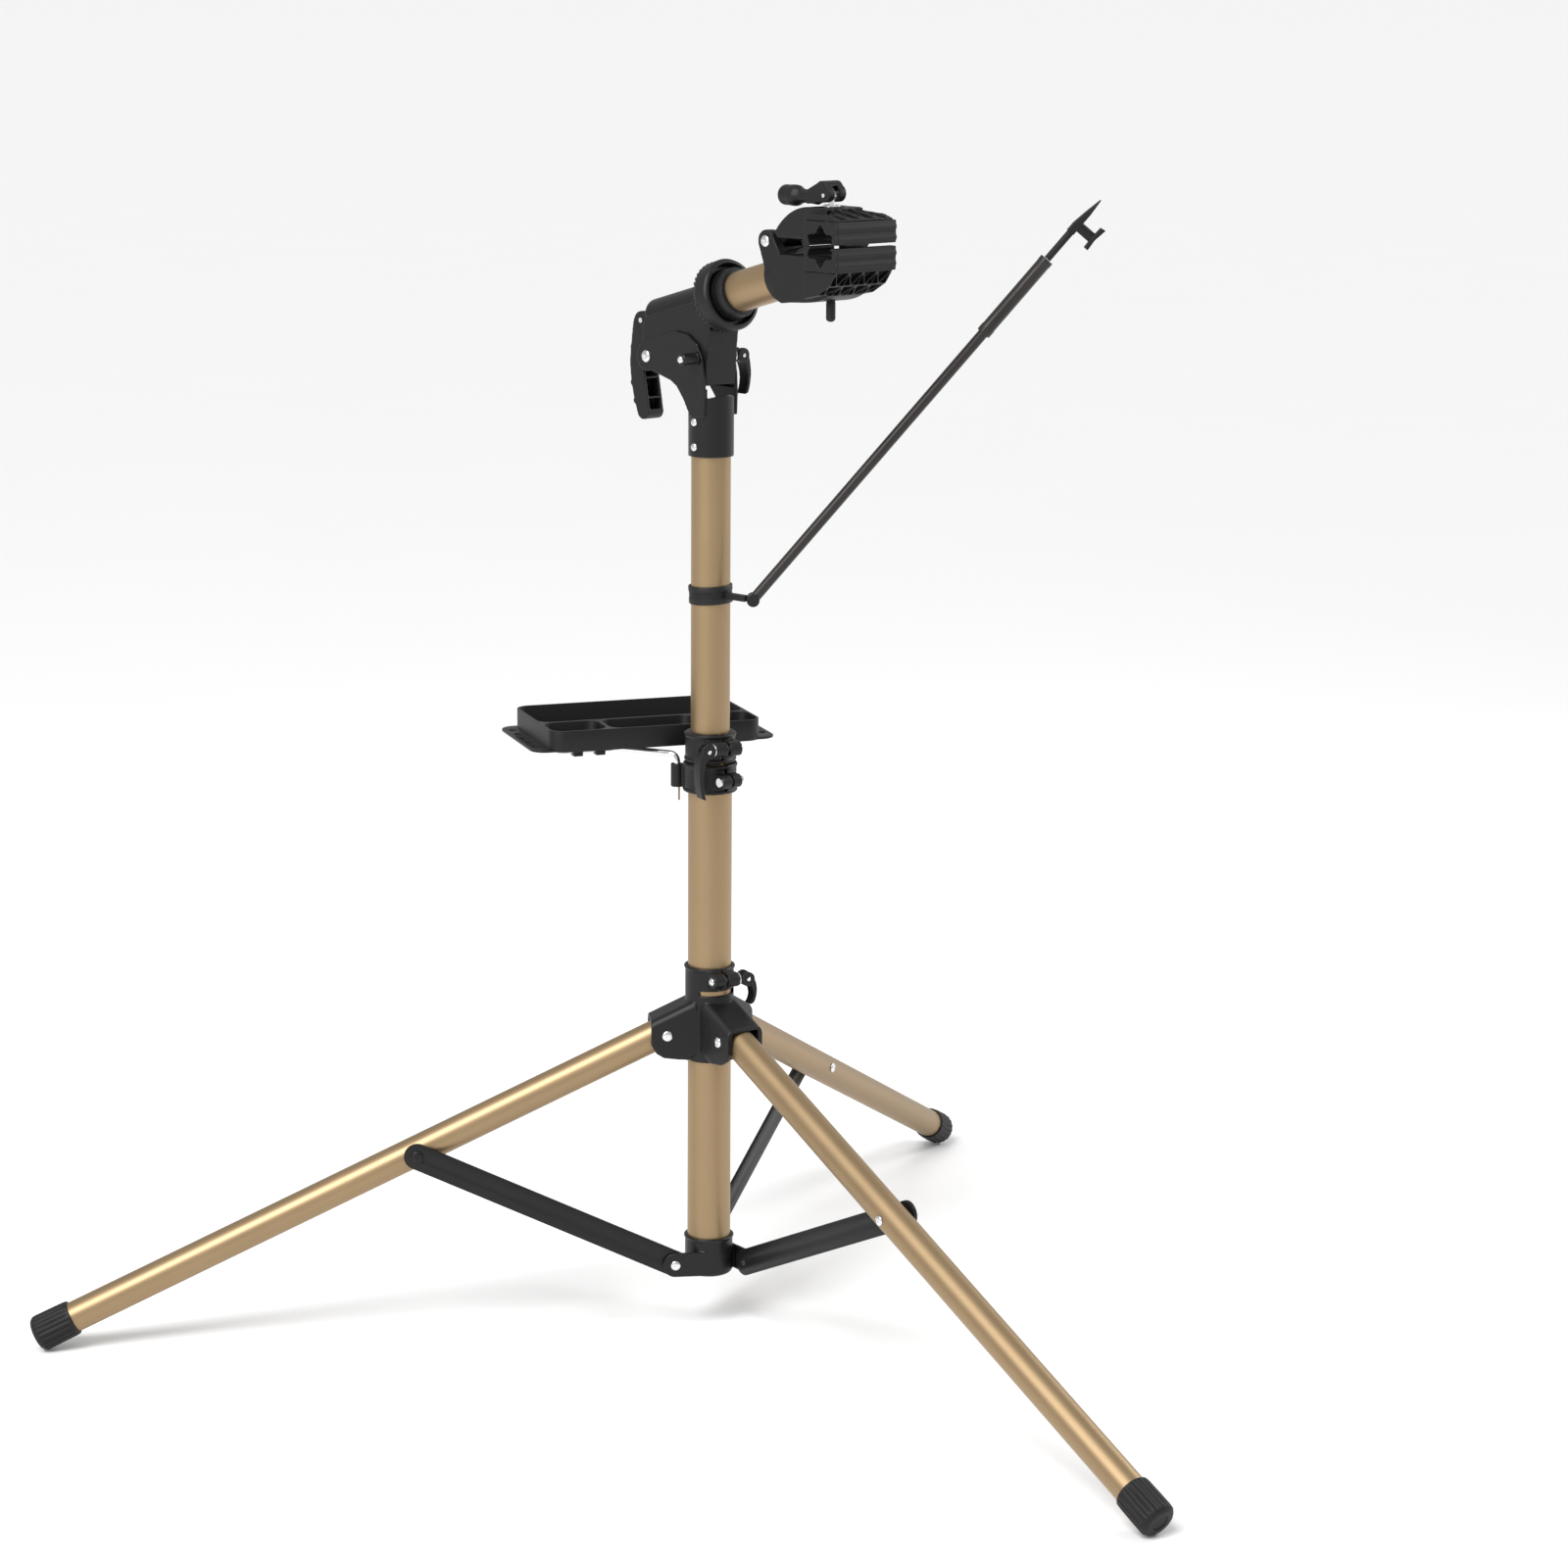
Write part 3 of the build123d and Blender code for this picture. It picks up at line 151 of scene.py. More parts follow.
class Finish:
    """One procedural material, built from expressions."""

    def __init__(self, name, **constants):
        self.material = bpy.data.materials.new(name)
        self.material.use_nodes = True
        self.tree = self.material.node_tree
        self.tree.nodes.clear()
        self.shader = self.tree.nodes.new("ShaderNodeBsdfPrincipled")
        output = self.tree.nodes.new("ShaderNodeOutputMaterial")
        self.tree.links.new(self.shader.outputs[0], output.inputs[0])
        for socket, value in constants.items():
            self.feed(socket.replace("_", " "), value)

    def feed(self, socket, value):
        self._set(self.shader.inputs[socket], value)

    def _set(self, target, value):
        if isinstance(value, Value):
            self.tree.links.new(value.socket, target)
        else:
            target.default_value = value

    def node(self, kind, settings=None, values=None, out=0):
        made = self.tree.nodes.new(kind)
        for key, value in (settings or {}).items():
            if key == "stops":
                for element, (place, tone) in zip(made.color_ramp.elements, value):
                    element.position = place
                    element.color = (tone, tone, tone, 1)
            else:
                setattr(made, key, value)
        for key, value in (values or {}).items():
            self._set(made.inputs[key], value)
        return Value(self, made.outputs[out])

    def place(self):
        return self.node("ShaderNodeTexCoord", out="Object")

    def noise(self, scale, detail=2.0, roughness=0.5, stretch=None):
        where = self.place()
        if stretch:
            where = self.node("ShaderNodeMapping", None, {"Vector": where, "Scale": stretch})
        values = {"Vector": where, "Scale": scale, "Detail": detail, "Roughness": roughness}
        return self.node("ShaderNodeTexNoise", None, values, "Fac")

    def blend(self, factor, first, second):
        values = {0: factor, 6: first, 7: second}
        return self.node("ShaderNodeMix", {"data_type": "RGBA"}, values, 2)

    # Mask of the sharp convex edges from pointiness, used for edge wear and a painted highlight.
    def edges(self, low=0.50, high=0.56):
        point = self.node("ShaderNodeNewGeometry", out="Pointiness")
        settings = {"stops": ((low, 0.0), (high, 1.0))}
        return self.node("ShaderNodeValToRGB", settings, {"Fac": point}, "Color")

    def bump(self, height, strength, distance):
        values = {"Height": height, "Strength": strength, "Distance": distance}
        self.feed("Normal", self.node("ShaderNodeBump", None, values, "Normal"))


def colour(rgb, gain=1.0):
    return (rgb[0] * gain, rgb[1] * gain, rgb[2] * gain, 1.0)


def anodised_finish(name, rgb):
    """Satin anodised aluminium: fine grain, faint cloudy dye."""
    finish = Finish(name, Metallic=0.82, Coat_Roughness=0.25)
    cloud = finish.noise(14.0, 3.0)
    grain = finish.noise(2600.0, 2.0)
    finish.feed("Base Color", finish.blend(cloud, colour(rgb, 0.93), colour(rgb, 1.06)))
    finish.feed("Roughness", 0.36 + 0.07 * cloud + 0.05 * grain)
    finish.bump(grain, 0.10, 0.00004)
    return finish.material


def moulded_finish(name, rgb, rough=0.40, grain=1500.0, depth=0.00012, strength=0.30, lit_and_worn_edges=True):
    """Moulded or coated black: a pebbled skin. On worn pieces the edges are rubbed a little smoother and
    painted paler, partly as edge wear and partly as a painted highlight.
    """
    finish = Finish(name, Specular_IOR_Level=0.30)
    cloud = finish.noise(30.0, 3.0)
    pebble = finish.noise(grain, 3.0, 0.6)
    # On worn pieces the edges are painted paler, partly as wear and partly as a painted highlight; other pieces
    # get only a faint random cloud.
    edge_highlight_and_wear = finish.edges() if lit_and_worn_edges else 0.2 * cloud
    base = finish.blend(cloud, colour(rgb, 0.85), colour(rgb, 1.15))
    # Base colour is mixed towards a pale tone where the mask is high: painted highlight and edge wear.
    finish.feed("Base Color", finish.blend(edge_highlight_and_wear * 0.5, base, colour(rgb, 2.2)))
    finish.feed("Roughness", rough + 0.08 * cloud + 0.06 * pebble - 0.08 * edge_highlight_and_wear)
    finish.bump(pebble, strength, depth)
    return finish.material


def bright_finish(name, rgb, rough):
    """Zinc plate or chrome: metal with faint handling marks."""
    finish = Finish(name, Metallic=1.0)
    cloud = finish.noise(120.0, 4.0)
    scuff = finish.noise(900.0, 3.0, 0.6)
    finish.feed("Base Color", finish.blend(cloud, colour(rgb, 0.9), colour(rgb, 1.05)))
    finish.feed("Roughness", rough + 0.10 * cloud * scuff)
    finish.bump(scuff, 0.05, 0.00003)
    return finish.material


def floor_finish(name, rgb):
    """Matt studio floor."""
    finish = Finish(name)
    cloud = finish.noise(2.0, 2.0)
    finish.feed("Base Color", finish.blend(cloud, colour(rgb, 0.99), colour(rgb, 1.0)))
    finish.feed("Roughness", 0.75 + 0.05 * cloud)
    return finish.material


PAINTS = {}


def paint(name):
    """The material of that name, made the first time it is asked for."""
    if name not in PAINTS:
        stand = bpy.context.scene.repair_stand
        black = tuple(stand.black)
        makers = {
            "tube": lambda: anodised_finish("bronze_tube", tuple(stand.bronze)),
            "plastic": lambda: moulded_finish("black_plastic", black, 0.40),
            "coat": lambda: moulded_finish("black_coat", black, 0.30, 900.0, 0.00008, 0.20),
            "plate": lambda: moulded_finish("black_plate", black, 0.36, 900.0, 0.00006, 0.15, lit_and_worn_edges=False),
            "rubber": lambda: moulded_finish("black_rubber", black, 0.52, 1900.0, 0.00014, 0.35),
            "steel": lambda: bright_finish("zinc_steel", ZINC, 0.22),
            "chrome": lambda: bright_finish("chrome", CHROME, 0.06),
            "rod": lambda: moulded_finish("rod_black", ROD_BLACK, 0.28, 1200.0, lit_and_worn_edges=False),
        }
        PAINTS[name] = makers[name]()
    return PAINTS[name]


def coat_nodes(paint_name, *nodes):
    for node in nodes:
        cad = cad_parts[node]
        cad.data.materials.clear()
        cad.data.materials.append(paint(paint_name))


def smooth_cad(*nodes):
    for node in nodes:
        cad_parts[node].data.shade_smooth()


# ------------------------------------------------------------------ mesh building
def prism(points, origin, x, y, low, high):
    """Closed solid: an outline in the plane of x and y, from low to high along their normal."""
    bm = bmesh.new()
    normal = x.cross(y)
    rings = []
    for level in (low, high):
        rings.append([bm.verts.new((origin + x * a + y * b + normal * level) * MM) for a, b in points])
    count = len(points)
    bm.faces.new(list(reversed(rings[0])))
    bm.faces.new(rings[1])
    for i in range(count):
        j = (i + 1) % count
        bm.faces.new((rings[0][i], rings[0][j], rings[1][j], rings[1][i]))
    bmesh.ops.recalc_face_normals(bm, faces=bm.faces)
    return bm


def turning(profile, origin, axis, segments=48, ribs=0, rib_depth=0.0):
    """Closed solid turned about an axis: profile holds (distance along it, radius[, rib share])."""
    bm = bmesh.new()
    axis = axis.normalized()
    side = axis.orthogonal().normalized()
    across = axis.cross(side)
    rings = []
    for step in profile:
        along, radius = step[0], step[1]
        share = step[2] if len(step) > 2 else 0.0
        ring = []
        for i in range(segments):
            angle = 2 * math.pi * i / segments
            wave = 0.5 - 0.5 * math.cos(ribs * angle)
            r = radius - rib_depth * share * wave ** 2
            spot = origin + axis * along + side * (r * math.cos(angle)) + across * (r * math.sin(angle))
            ring.append(bm.verts.new(spot * MM))
        rings.append(ring)
    for lower, upper in zip(rings, rings[1:]):
        for i in range(segments):
            j = (i + 1) % segments
            bm.faces.new((lower[i], lower[j], upper[j], upper[i]))
    bm.faces.new(list(reversed(rings[0])))
    bm.faces.new(rings[-1])
    bmesh.ops.recalc_face_normals(bm, faces=bm.faces)
    return bm


def sleeve(profile, origin, axis, segments=64, ribs=0, rib_depth=0.0):
    """Turned ring: the profile is a closed loop of (distance along the axis, radius[, rib share])."""
    bm = turning(profile, origin, axis, segments, ribs, rib_depth)
    caps = [face for face in bm.faces if len(face.verts) == segments]
    bmesh.ops.delete(bm, geom=caps, context="FACES_ONLY")
    bm.verts.ensure_lookup_table()
    last = len(bm.verts) - segments
    for i in range(segments):
        j = (i + 1) % segments
        bm.faces.new((bm.verts[last + i], bm.verts[last + j], bm.verts[j], bm.verts[i]))
    bmesh.ops.recalc_face_normals(bm, faces=bm.faces)
    return bm


def cad_solid(node):
    bm = bmesh.new()
    bm.from_mesh(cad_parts[node].data)
    bmesh.ops.remove_doubles(bm, verts=bm.verts, dist=1e-5)
    return bm


def joined(solids):
    whole = bmesh.new()
    for solid in solids:
        scrap = bpy.data.meshes.new("scrap")
        solid.to_mesh(scrap)
        solid.free()
        whole.from_mesh(scrap)
        bpy.data.meshes.remove(scrap)
    return whole


def as_object(name, solids):
    mesh = bpy.data.meshes.new(name)
    whole = joined(solids)
    whole.to_mesh(mesh)
    whole.free()
    made = bpy.data.objects.new(name, mesh)
    bpy.context.scene.collection.objects.link(made)
    return made


def settle(made, tool=None):
    """Puts the modifiers' result into the mesh itself, and drops the cutting tool."""
    graph = bpy.context.evaluated_depsgraph_get()
    result = bpy.data.meshes.new_from_object(made.evaluated_get(graph))
    old = made.data
    made.modifiers.clear()
    made.data = result
    bpy.data.meshes.remove(old)
    if tool:
        bpy.data.objects.remove(tool)


def dress(made, paint_name, body, nodes=()):
    made.data.materials.clear()
    made.data.materials.append(paint(paint_name))
    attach(made, body)
    if nodes:
        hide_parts(*nodes)
    return made


def smooth_by_angle(made, degrees=35.0):
    made.data.shade_smooth()
    bm = bmesh.new()
    bm.from_mesh(made.data)
    for edge in bm.edges:
        if len(edge.link_faces) == 2 and edge.calc_face_angle(0.0) > math.radians(degrees):
            edge.smooth = False
    bm.to_mesh(made.data)
    bm.free()


def cut_blank(name, solids, cuts):
    """The solids as one piece with its holes cut, and the tool that cuts them."""
    made = as_object(name, solids)
    if not cuts:
        return made, None
    tool = as_object(name + "_cut", cuts)
    cut = made.modifiers.new("cut", "BOOLEAN")
    cut.operation = "DIFFERENCE"
    cut.solver = "EXACT"
    cut.use_self = True
    cut.object = tool
    return made, tool


def mould(name, solids, cuts=(), voxel=0.7, soften=5, keep=0.35):
    """A moulded piece: solids run together, holes cut, every edge rounded."""
    made, tool = cut_blank(name, solids, cuts)
    remesh = made.modifiers.new("skin", "REMESH")
    remesh.mode = "VOXEL"
    remesh.voxel_size = voxel * MM
    smooth = made.modifiers.new("soft", "SMOOTH")
    smooth.factor = 0.5
    smooth.iterations = soften
    thin = made.modifiers.new("thin", "DECIMATE")
    thin.ratio = keep
    settle(made, tool)
    made.data.shade_smooth()
    return made


def bevelled(name, solids, cuts=(), width=0.8, segments=2):
    """A flat-faced piece with its holes cut and its edges eased."""
    made, tool = cut_blank(name, solids, cuts)
    bevel = made.modifiers.new("edge", "BEVEL")
    bevel.width = width * MM
    bevel.segments = segments
    bevel.limit_method = "ANGLE"
    bevel.angle_limit = math.radians(40)
    settle(made, tool)
    smooth_by_angle(made, 25.0)
    return made


def turned(name, solids):
    made = as_object(name, solids)
    smooth_by_angle(made)
    return made


def dome(origin, axis, radius, height, shaft, length, drive=0.45):
    """A rivet or button head with a small recess, on its shaft."""
    profile = [(-length, shaft), (0.0, shaft), (0.0, radius * 0.97), (height * 0.25, radius)]
    for step in range(1, 7):
        angle = math.pi / 2 * step / 7
        rise, width = math.sin(angle), math.cos(angle)
        profile.append((height * (0.25 + 0.75 * rise), radius * (0.22 + 0.78 * width)))
    profile += [(height, radius * drive * 0.6), (height * 0.72, radius * drive * 0.5)]
    return turning(profile, origin, axis, 32)


def through_bolt(centre, side, half, radius, height, shaft):
    """A bolt through a hinge, with a head on each side."""
    return [
        dome(centre + side * half, side, radius, height, shaft, 2 * half),
        dome(centre - side * half, -side, radius, height, shaft, 1.0),
    ]


# ------------------------------------------------------------------ settings
class StandSettings(bpy.types.PropertyGroup):
    """Sizes and colours of the stand's finished pieces."""

    bronze: FloatVectorProperty(
        name="Tube colour",
        description="Colour of the anodised tubes",
        default=(0.335, 0.236, 0.132),
        subtype="COLOR",
        size=3,
        min=0.0,
        max=1.0,
    )
    black: FloatVectorProperty(
        name="Black",
        description="Colour of the moulded and coated black pieces",
        default=(0.0062, 0.0062, 0.0065),
        subtype="COLOR",
        size=3,
        min=0.0,
        max=1.0,
    )
    floor: FloatVectorProperty(
        name="Floor colour",
        description="Colour of the studio floor",
        default=(0.90, 0.90, 0.90),
        subtype="COLOR",
        size=3,
        min=0.0,
        max=1.0,
    )
    foot_ribs: IntProperty(
        name="Foot ribs", description="Ribs round each rubber foot", default=20, min=8, max=40
    )
    ring_teeth: IntProperty(
        name="Ring teeth", description="Teeth round the index ring", default=40, min=12, max=80
    )
    skin: FloatProperty(
        name="Moulding detail",
        description="Size of the smallest detail kept on the moulded pieces, in millimetres",
        default=0.7,
        min=0.3,
        max=2.0,
    )


def lay_floor(context):
    mesh = bpy.data.meshes.new("floor")
    reach = FLOOR_REACH
    corners = [(-reach, -reach, 0), (reach, -reach, 0), (reach, reach, 0), (-reach, reach, 0)]
    mesh.from_pydata(corners, [], [(0, 1, 2, 3)])
    floor = bpy.data.objects.new("floor", mesh)
    context.scene.collection.objects.link(floor)
    mesh.materials.append(floor_finish("studio_floor", tuple(context.scene.repair_stand.floor)))


def light_studio(context):
    """White surroundings, a soft sun from above and two area lights."""
    world = bpy.data.worlds.new("studio")
    world.use_nodes = True
    world.node_tree.nodes["Background"].inputs[0].default_value = (1.0, 1.0, 1.0, 1.0)
    world.node_tree.nodes["Background"].inputs[1].default_value = 0.56
    context.scene.world = world
    context.scene.view_settings.view_transform = "Standard"
    sun = bpy.data.lights.new("sun", "SUN")
    sun.energy = 1.9
    sun.angle = math.radians(25)
    lamp = bpy.data.objects.new("sun", sun)
    lamp.rotation_euler = (math.radians(28), math.radians(-22), 0)
    context.scene.collection.objects.link(lamp)
    for name, spot, size, power in (
        ("key", (-2.2, -2.0, 2.4), 1.4, 55.0),
        ("rim", (2.6, 0.8, 1.8), 1.0, 35.0),
    ):
        light = bpy.data.lights.new(name, "AREA")
        light.size = size
        light.energy = power
        lamp = bpy.data.objects.new(name, light)
        lamp.location = spot
        aim = Vector(LIGHT_TARGET) - Vector(spot)
        lamp.rotation_euler = aim.to_track_quat("-Z", "Y").to_euler()
        context.scene.collection.objects.link(lamp)


def set_camera(context):
    level_share, rise = math.cos(CAMERA_PITCH), math.sin(CAMERA_PITCH)
    look = Vector((math.cos(CAMERA_HEADING) * level_share, math.sin(CAMERA_HEADING) * level_share, rise))
    right = look.cross(UP).normalized()
    top = right.cross(look)
    level = right * math.cos(CAMERA_ROLL) + top * math.sin(CAMERA_ROLL)
    upright = top * math.cos(CAMERA_ROLL) - right * math.sin(CAMERA_ROLL)
    camera = bpy.data.cameras.new("camera")
    camera.lens = 87.28
    camera.sensor_width = 36.0
    camera.clip_end = 1000.0
    eye = bpy.data.objects.new("camera", camera)
    turn = Matrix((level, upright, -look)).transposed().to_4x4()
    eye.matrix_world = Matrix.Translation(CAMERA_SPOT) @ turn
    context.scene.collection.objects.link(eye)
    context.scene.camera = eye


class StageOperator(bpy.types.Operator):
    """Lay the floor and set the lights and the camera"""

    bl_idname = "repair_stand.stage"
    bl_label = "Studio"

    def execute(self, context):
        lay_floor(context)
        light_studio(context)
        set_camera(context)
        return {"FINISHED"}


class TubesOperator(bpy.types.Operator):
    """Finish the posts, the legs, the arm and the hidden shafts"""

    bl_idname = "repair_stand.tubes"
    bl_label = "Tubes"

    def execute(self, context):
        coat_nodes("tube", "lower_post", "upper_post", "arm_tube")
        coat_nodes("tube", *[f"{side}_leg" for side in LEGS])
        coat_nodes("plastic", "glide_plug")
        coat_nodes("steel", "arm_spindle", "drawbar", "clamp_rod", "clamp_washer")
        coat_nodes("chrome", "tray_rod")
        coat_nodes("rod", "rod_lower")
        smooth_cad("lower_post", "upper_post", "arm_tube", "tray_rod", "rod_lower")
        smooth_cad(*[f"{side}_leg" for side in LEGS])
        return {"FINISHED"}


class FeetOperator(bpy.types.Operator):
    """Ribbed rubber foot on each leg"""

    bl_idname = "repair_stand.feet"
    bl_label = "Rubber feet"

    def execute(self, context):
        ribs = context.scene.repair_stand.foot_ribs
        drop = LEG_PIVOT[1] - FOOT_CAP_EDGE_RADIUS * math.sin(LEG_SPREAD) - FOOT_CAP_EDGE
        length = FOOT_CAP_EDGE + drop / math.cos(LEG_SPREAD)
        for side, azimuth in LEGS.items():
            down = leg_way(azimuth)
            mouth = leg_pivot(azimuth) + down * (length - FOOT_CAP_LENGTH)
            profile = [
                (0.6, 16.15), (0.0, 16.6), (0.0, 17.4), (0.8, 18.2), (3.0, 18.5, 0.4),
                (5.0, 18.7, 1.0), (20.0, 18.9, 1.0), (34.0, 19.0, 1.0), (36.5, 19.0, 0.8),
                (38.6, 18.6, 0.5), (40.6, 17.2, 0.25), (42.2, 15.4), (43.0, 13.4), (43.0, 9.0),
                (42.2, 8.4), (42.2, 2.0),
            ]
            cap = turned(f"{side}_foot", [turning(profile, mouth, down, ribs * 10, ribs, 1.1)])
            dress(cap, "rubber", f"leg_{side}", [f"{side}_foot_cap"])
        return {"FINISHED"}


def hub_rim(z, outer, height):
    """Thin rim round the mouth of a hub."""
    profile = [
        (0, HUB_SEAT), (0, outer - 0.3), (height - 1.2, outer), (height, outer - 0.7), (height, HUB_SEAT),
    ]
    return sleeve(profile, UP * z, UP)


def collar_band(z, inner, outer, height):
    """Raised band round a collar, with both edges eased."""
    profile = [
        (0, inner), (0, outer - 0.4), (0.8, outer), (height - 0.8, outer), (height, outer - 0.4),
        (height, inner),
    ]
    return sleeve(profile, UP * z, UP)


class HubsOperator(bpy.types.Operator):
    """Moulded leg hub, foot hub and the two collars on the post"""

    bl_idname = "repair_stand.hubs"
    bl_label = "Hubs and collars"

    def execute(self, context):
        skin = context.scene.repair_stand.skin
        pieces = (
            ("leg_hub", "plastic", "leg_hub", [hub_rim(390.4, 26.6, 3.0)], 1.2, 6, 0.3),
            ("foot_hub", "coat", "stand_base", [hub_rim(98.8, 26.3, 2.4)], 1.0, 4, 0.35),
            (
                "post_collar", "plastic", "stand_base",
                [collar_band(z, 25.0, 26.8, 3.0) for z in (609.6, 635.0)], 0.85, 4, 0.35,
            ),
            (
                "tray_collar", "plastic", "stand_base",
                [collar_band(z, 26.4, 28.0, 2.8) for z in (577.6, 603.4)], 0.85, 4, 0.35,
            ),
        )
        for node, paint_name, body, rings, coarseness, soften, keep in pieces:
            solids = [cad_solid(node), *rings]
            piece = mould(f"{node}_skin", solids, [], skin * coarseness, soften, keep)
            dress(piece, paint_name, body, [node])
        return {"FINISHED"}


class StrutsOperator(bpy.types.Operator):
    """Flat struts with eased edges"""

    bl_idname = "repair_stand.struts"
    bl_label = "Struts"

    def execute(self, context):
        for side, azimuth in LEGS.items():
            out, across = outward(azimuth), sideways(azimuth)
            foot = Vector((STRUT_PIVOT[0], STRUT_PIVOT[1]))
            bolt = Vector(LEG_PIVOT) + Vector((math.sin(LEG_SPREAD), -math.cos(LEG_SPREAD))) * STRUT_BOLT
            lean = math.atan2(bolt.y - foot.y, bolt.x - foot.x)
            outline = []
            for centre, start in ((bolt, lean - math.pi / 2), (foot, lean + math.pi / 2)):
                for step in range(17):
                    angle = start + math.pi * step / 16
                    reach, rise = STRUT_HALF * math.cos(angle), STRUT_HALF * math.sin(angle)
                    outline.append((centre.x + reach, centre.y + rise))
            bar = prism(outline, ORIGIN, out, UP, -STRUT_FACE - STRUT_THICK, -STRUT_FACE)
            holes = []
            for centre, radius in ((foot, 3.1), (bolt, 3.0)):
                spot = out * centre.x + UP * centre.y + across * (STRUT_FACE - 2.0)
                holes.append(turning([(0.0, radius), (8.0, radius)], spot, across, 32))
            strut = bevelled(f"{side}_strut_bar", [bar], holes, 0.6, 2)
            dress(strut, "plate", f"strut_{side}", [f"{side}_strut"])
        return {"FINISHED"}


def release_rod(centre, run, across, nut_end, pin_at, nut):
    """A quick release's rod with its nut at one end, and the washer and cross pin of the cam at the other."""
    cam = centre + run * pin_at
    nut_profile = [(0.0, 1.0), (0.3, nut * 0.6), (1.2, nut * 0.92), (2.0, nut), (3.2, nut)]
    washer = [(-9.2, 5.6), (-9.2, 6.2), (-8.9, 6.5), (-8.0, 6.5), (-7.7, 6.2), (-7.7, 5.6)]
    return [
        turning([(-nut_end + 1.0, 2.8), (pin_at, 2.8)], centre, run, 24),
        turning(nut_profile, centre - run * nut_end, run, 32),
        turning(washer, cam, run, 40),
        turning([(-3.0, 4.1), (-2.5, 4.6), (2.5, 4.6), (3.0, 4.1)], cam, across, 32),
        turning([(-8.5, 1.5), (-8.1, 2.0), (8.1, 2.0), (8.5, 1.5)], cam, across, 24),
    ]


class FastenersOperator(bpy.types.Operator):
    """Rivets, bolts and nuts with domed heads"""

    bl_idname = "repair_stand.fasteners"
    bl_label = "Fasteners"

    def execute(self, context):
        heads = []
        for azimuth in LEGS.values():
            heads += through_bolt(leg_pivot(azimuth), sideways(azimuth), 22.5, 5.6, 2.6, 4.0)
        dress(turned("leg_pivot_bolts", heads), "steel", "leg_hub", ["leg_hub_bolts"])
        heads = []
        for azimuth in LEGS.values():
            centre, side = strut_pivot(azimuth), sideways(azimuth)
            heads.append(dome(centre + side * (STRUT_FACE + 7.5), side, 5.2, 2.4, 3.0, 7.5))
        dress(turned("foot_hub_bolts", heads), "steel", "stand_base", ["foot_hub_rivets"])
        for name, azimuth in LEGS.items():
            centre = leg_pivot(azimuth) + leg_way(azimuth) * STRUT_BOLT
            side = sideways(azimuth)
            bolt = dome(centre + side * (STRUT_FACE + STRUT_THICK), side, 6.4, 2.6, 3.0, 5.0)
            dress(turned(f"{name}_strut_screw", [bolt]), "coat", f"strut_{name}", [f"{name}_strut_bolt"])
            nut = dome(centre - side * 16.0, -side, 5.2, 2.6, 3.0, 31.0)
            dress(turned(f"{name}_leg_nut", [nut]), "steel", f"leg_{name}", [f"{name}_leg_bolt"])
        heads = []
        for z in (931.0, 956.0):
            for way in (-1, 1):
                heads.append(dome(head_point(0, z, way * 22.6), HEAD_SIDE * way, 4.1, 2.2, 3.9, 2.3, 0.2))
        dress(turned("yoke_rivet_heads", heads), "steel", "upper_post", ["yoke_rivets"])
        heads = through_bolt(head_point(*FOLD_PIVOT), HEAD_SIDE, 23.0, 6.2, 2.8, 4.0)
        dress(turned("fold_bolt_heads", heads), "steel", "upper_post", ["fold_bolt"])
        heads = through_bolt(head_point(*JAW_PIVOT), HEAD_SIDE, 22.0, 5.8, 2.6, 3.0)
        dress(turned("jaw_bolt_heads", heads), "steel", "clamp_arm", ["jaw_bolt"])
        coat_nodes("steel", "tray_screw")
        ear, along = outward(EAR_AZIMUTH), sideways(EAR_AZIMUTH)
        pieces = (
            ("hub", "leg_hub", ear * 33.5 + UP * 383.0, along, ear, 17.8, 23.8, 4.4),
            ("post", "stand_base", ear * 35.5 + UP * 626.0, -along, -ear, 17.8, 23.8, 4.4),
            ("head", "upper_post", head_point(*HEAD_RELEASE), HEAD_SIDE, HEAD_OUT, 46.0, 35.5, 3.6),
        )
        for name, body, centre, run, across, nut_end, pin_at, nut in pieces:
            solids = release_rod(centre, run, across, nut_end, pin_at, nut)
            dress(turned(f"{name}_release_rod", solids), "steel", body, [f"{name}_qr_bolt"])
        return {"FINISHED"}


class LeversOperator(bpy.types.Operator):
    """The three quick release levers and the sleeves on the head's rod"""

    bl_idname = "repair_stand.levers"
    bl_label = "Quick release levers"

    def execute(self, context):
        for name, body in (("hub", "hub_lever"), ("post", "post_lever"), ("head", "head_lever")):
            lever = mould(f"{name}_lever_blade", [cad_solid(f"{name}_qr_lever")], [], 0.42, 4, 0.4)
            dress(lever, "plastic", body, [f"{name}_qr_lever"])
        centre = head_point(*HEAD_RELEASE)
        solids = []
        for way, reach in ((-1, 42.7), (1, 26.2)):
            profile = [(23.1, 2.9), (23.1, 6.0), (23.9, 6.5), (25.2, 6.5), (25.6, 6.0), (reach - 0.5, 5.9)]
            profile += [(reach, 5.3), (reach, 2.9)]
            solids.append(turning(profile, centre, HEAD_SIDE * way, 40))
        dress(turned("head_rod_sleeves", solids), "plastic", "upper_post", ["head_qr_spacers"])
        return {"FINISHED"}


def toothed_ring(teeth):
    profile = [
        (11.1, 10.3), (11.1, 20.0), (11.5, 31.0), (12.2, 34.2, 0.7), (13.2, 35.6, 1.0),
        (15.8, 36.0, 1.0), (16.4, 35.2), (17.4, 35.0), (18.2, 35.7), (29.0, 36.0), (31.6, 34.8),
        (32.9, 32.6), (32.9, 31.4), (31.6, 30.6), (27.0, 29.8), (25.2, 29.0), (25.2, 26.4),
        (27.0, 25.9), (32.9, 25.5), (32.9, 10.3),
    ]
    return sleeve(profile, ARM_FOOT, ARM, teeth * 6, teeth, 1.6)


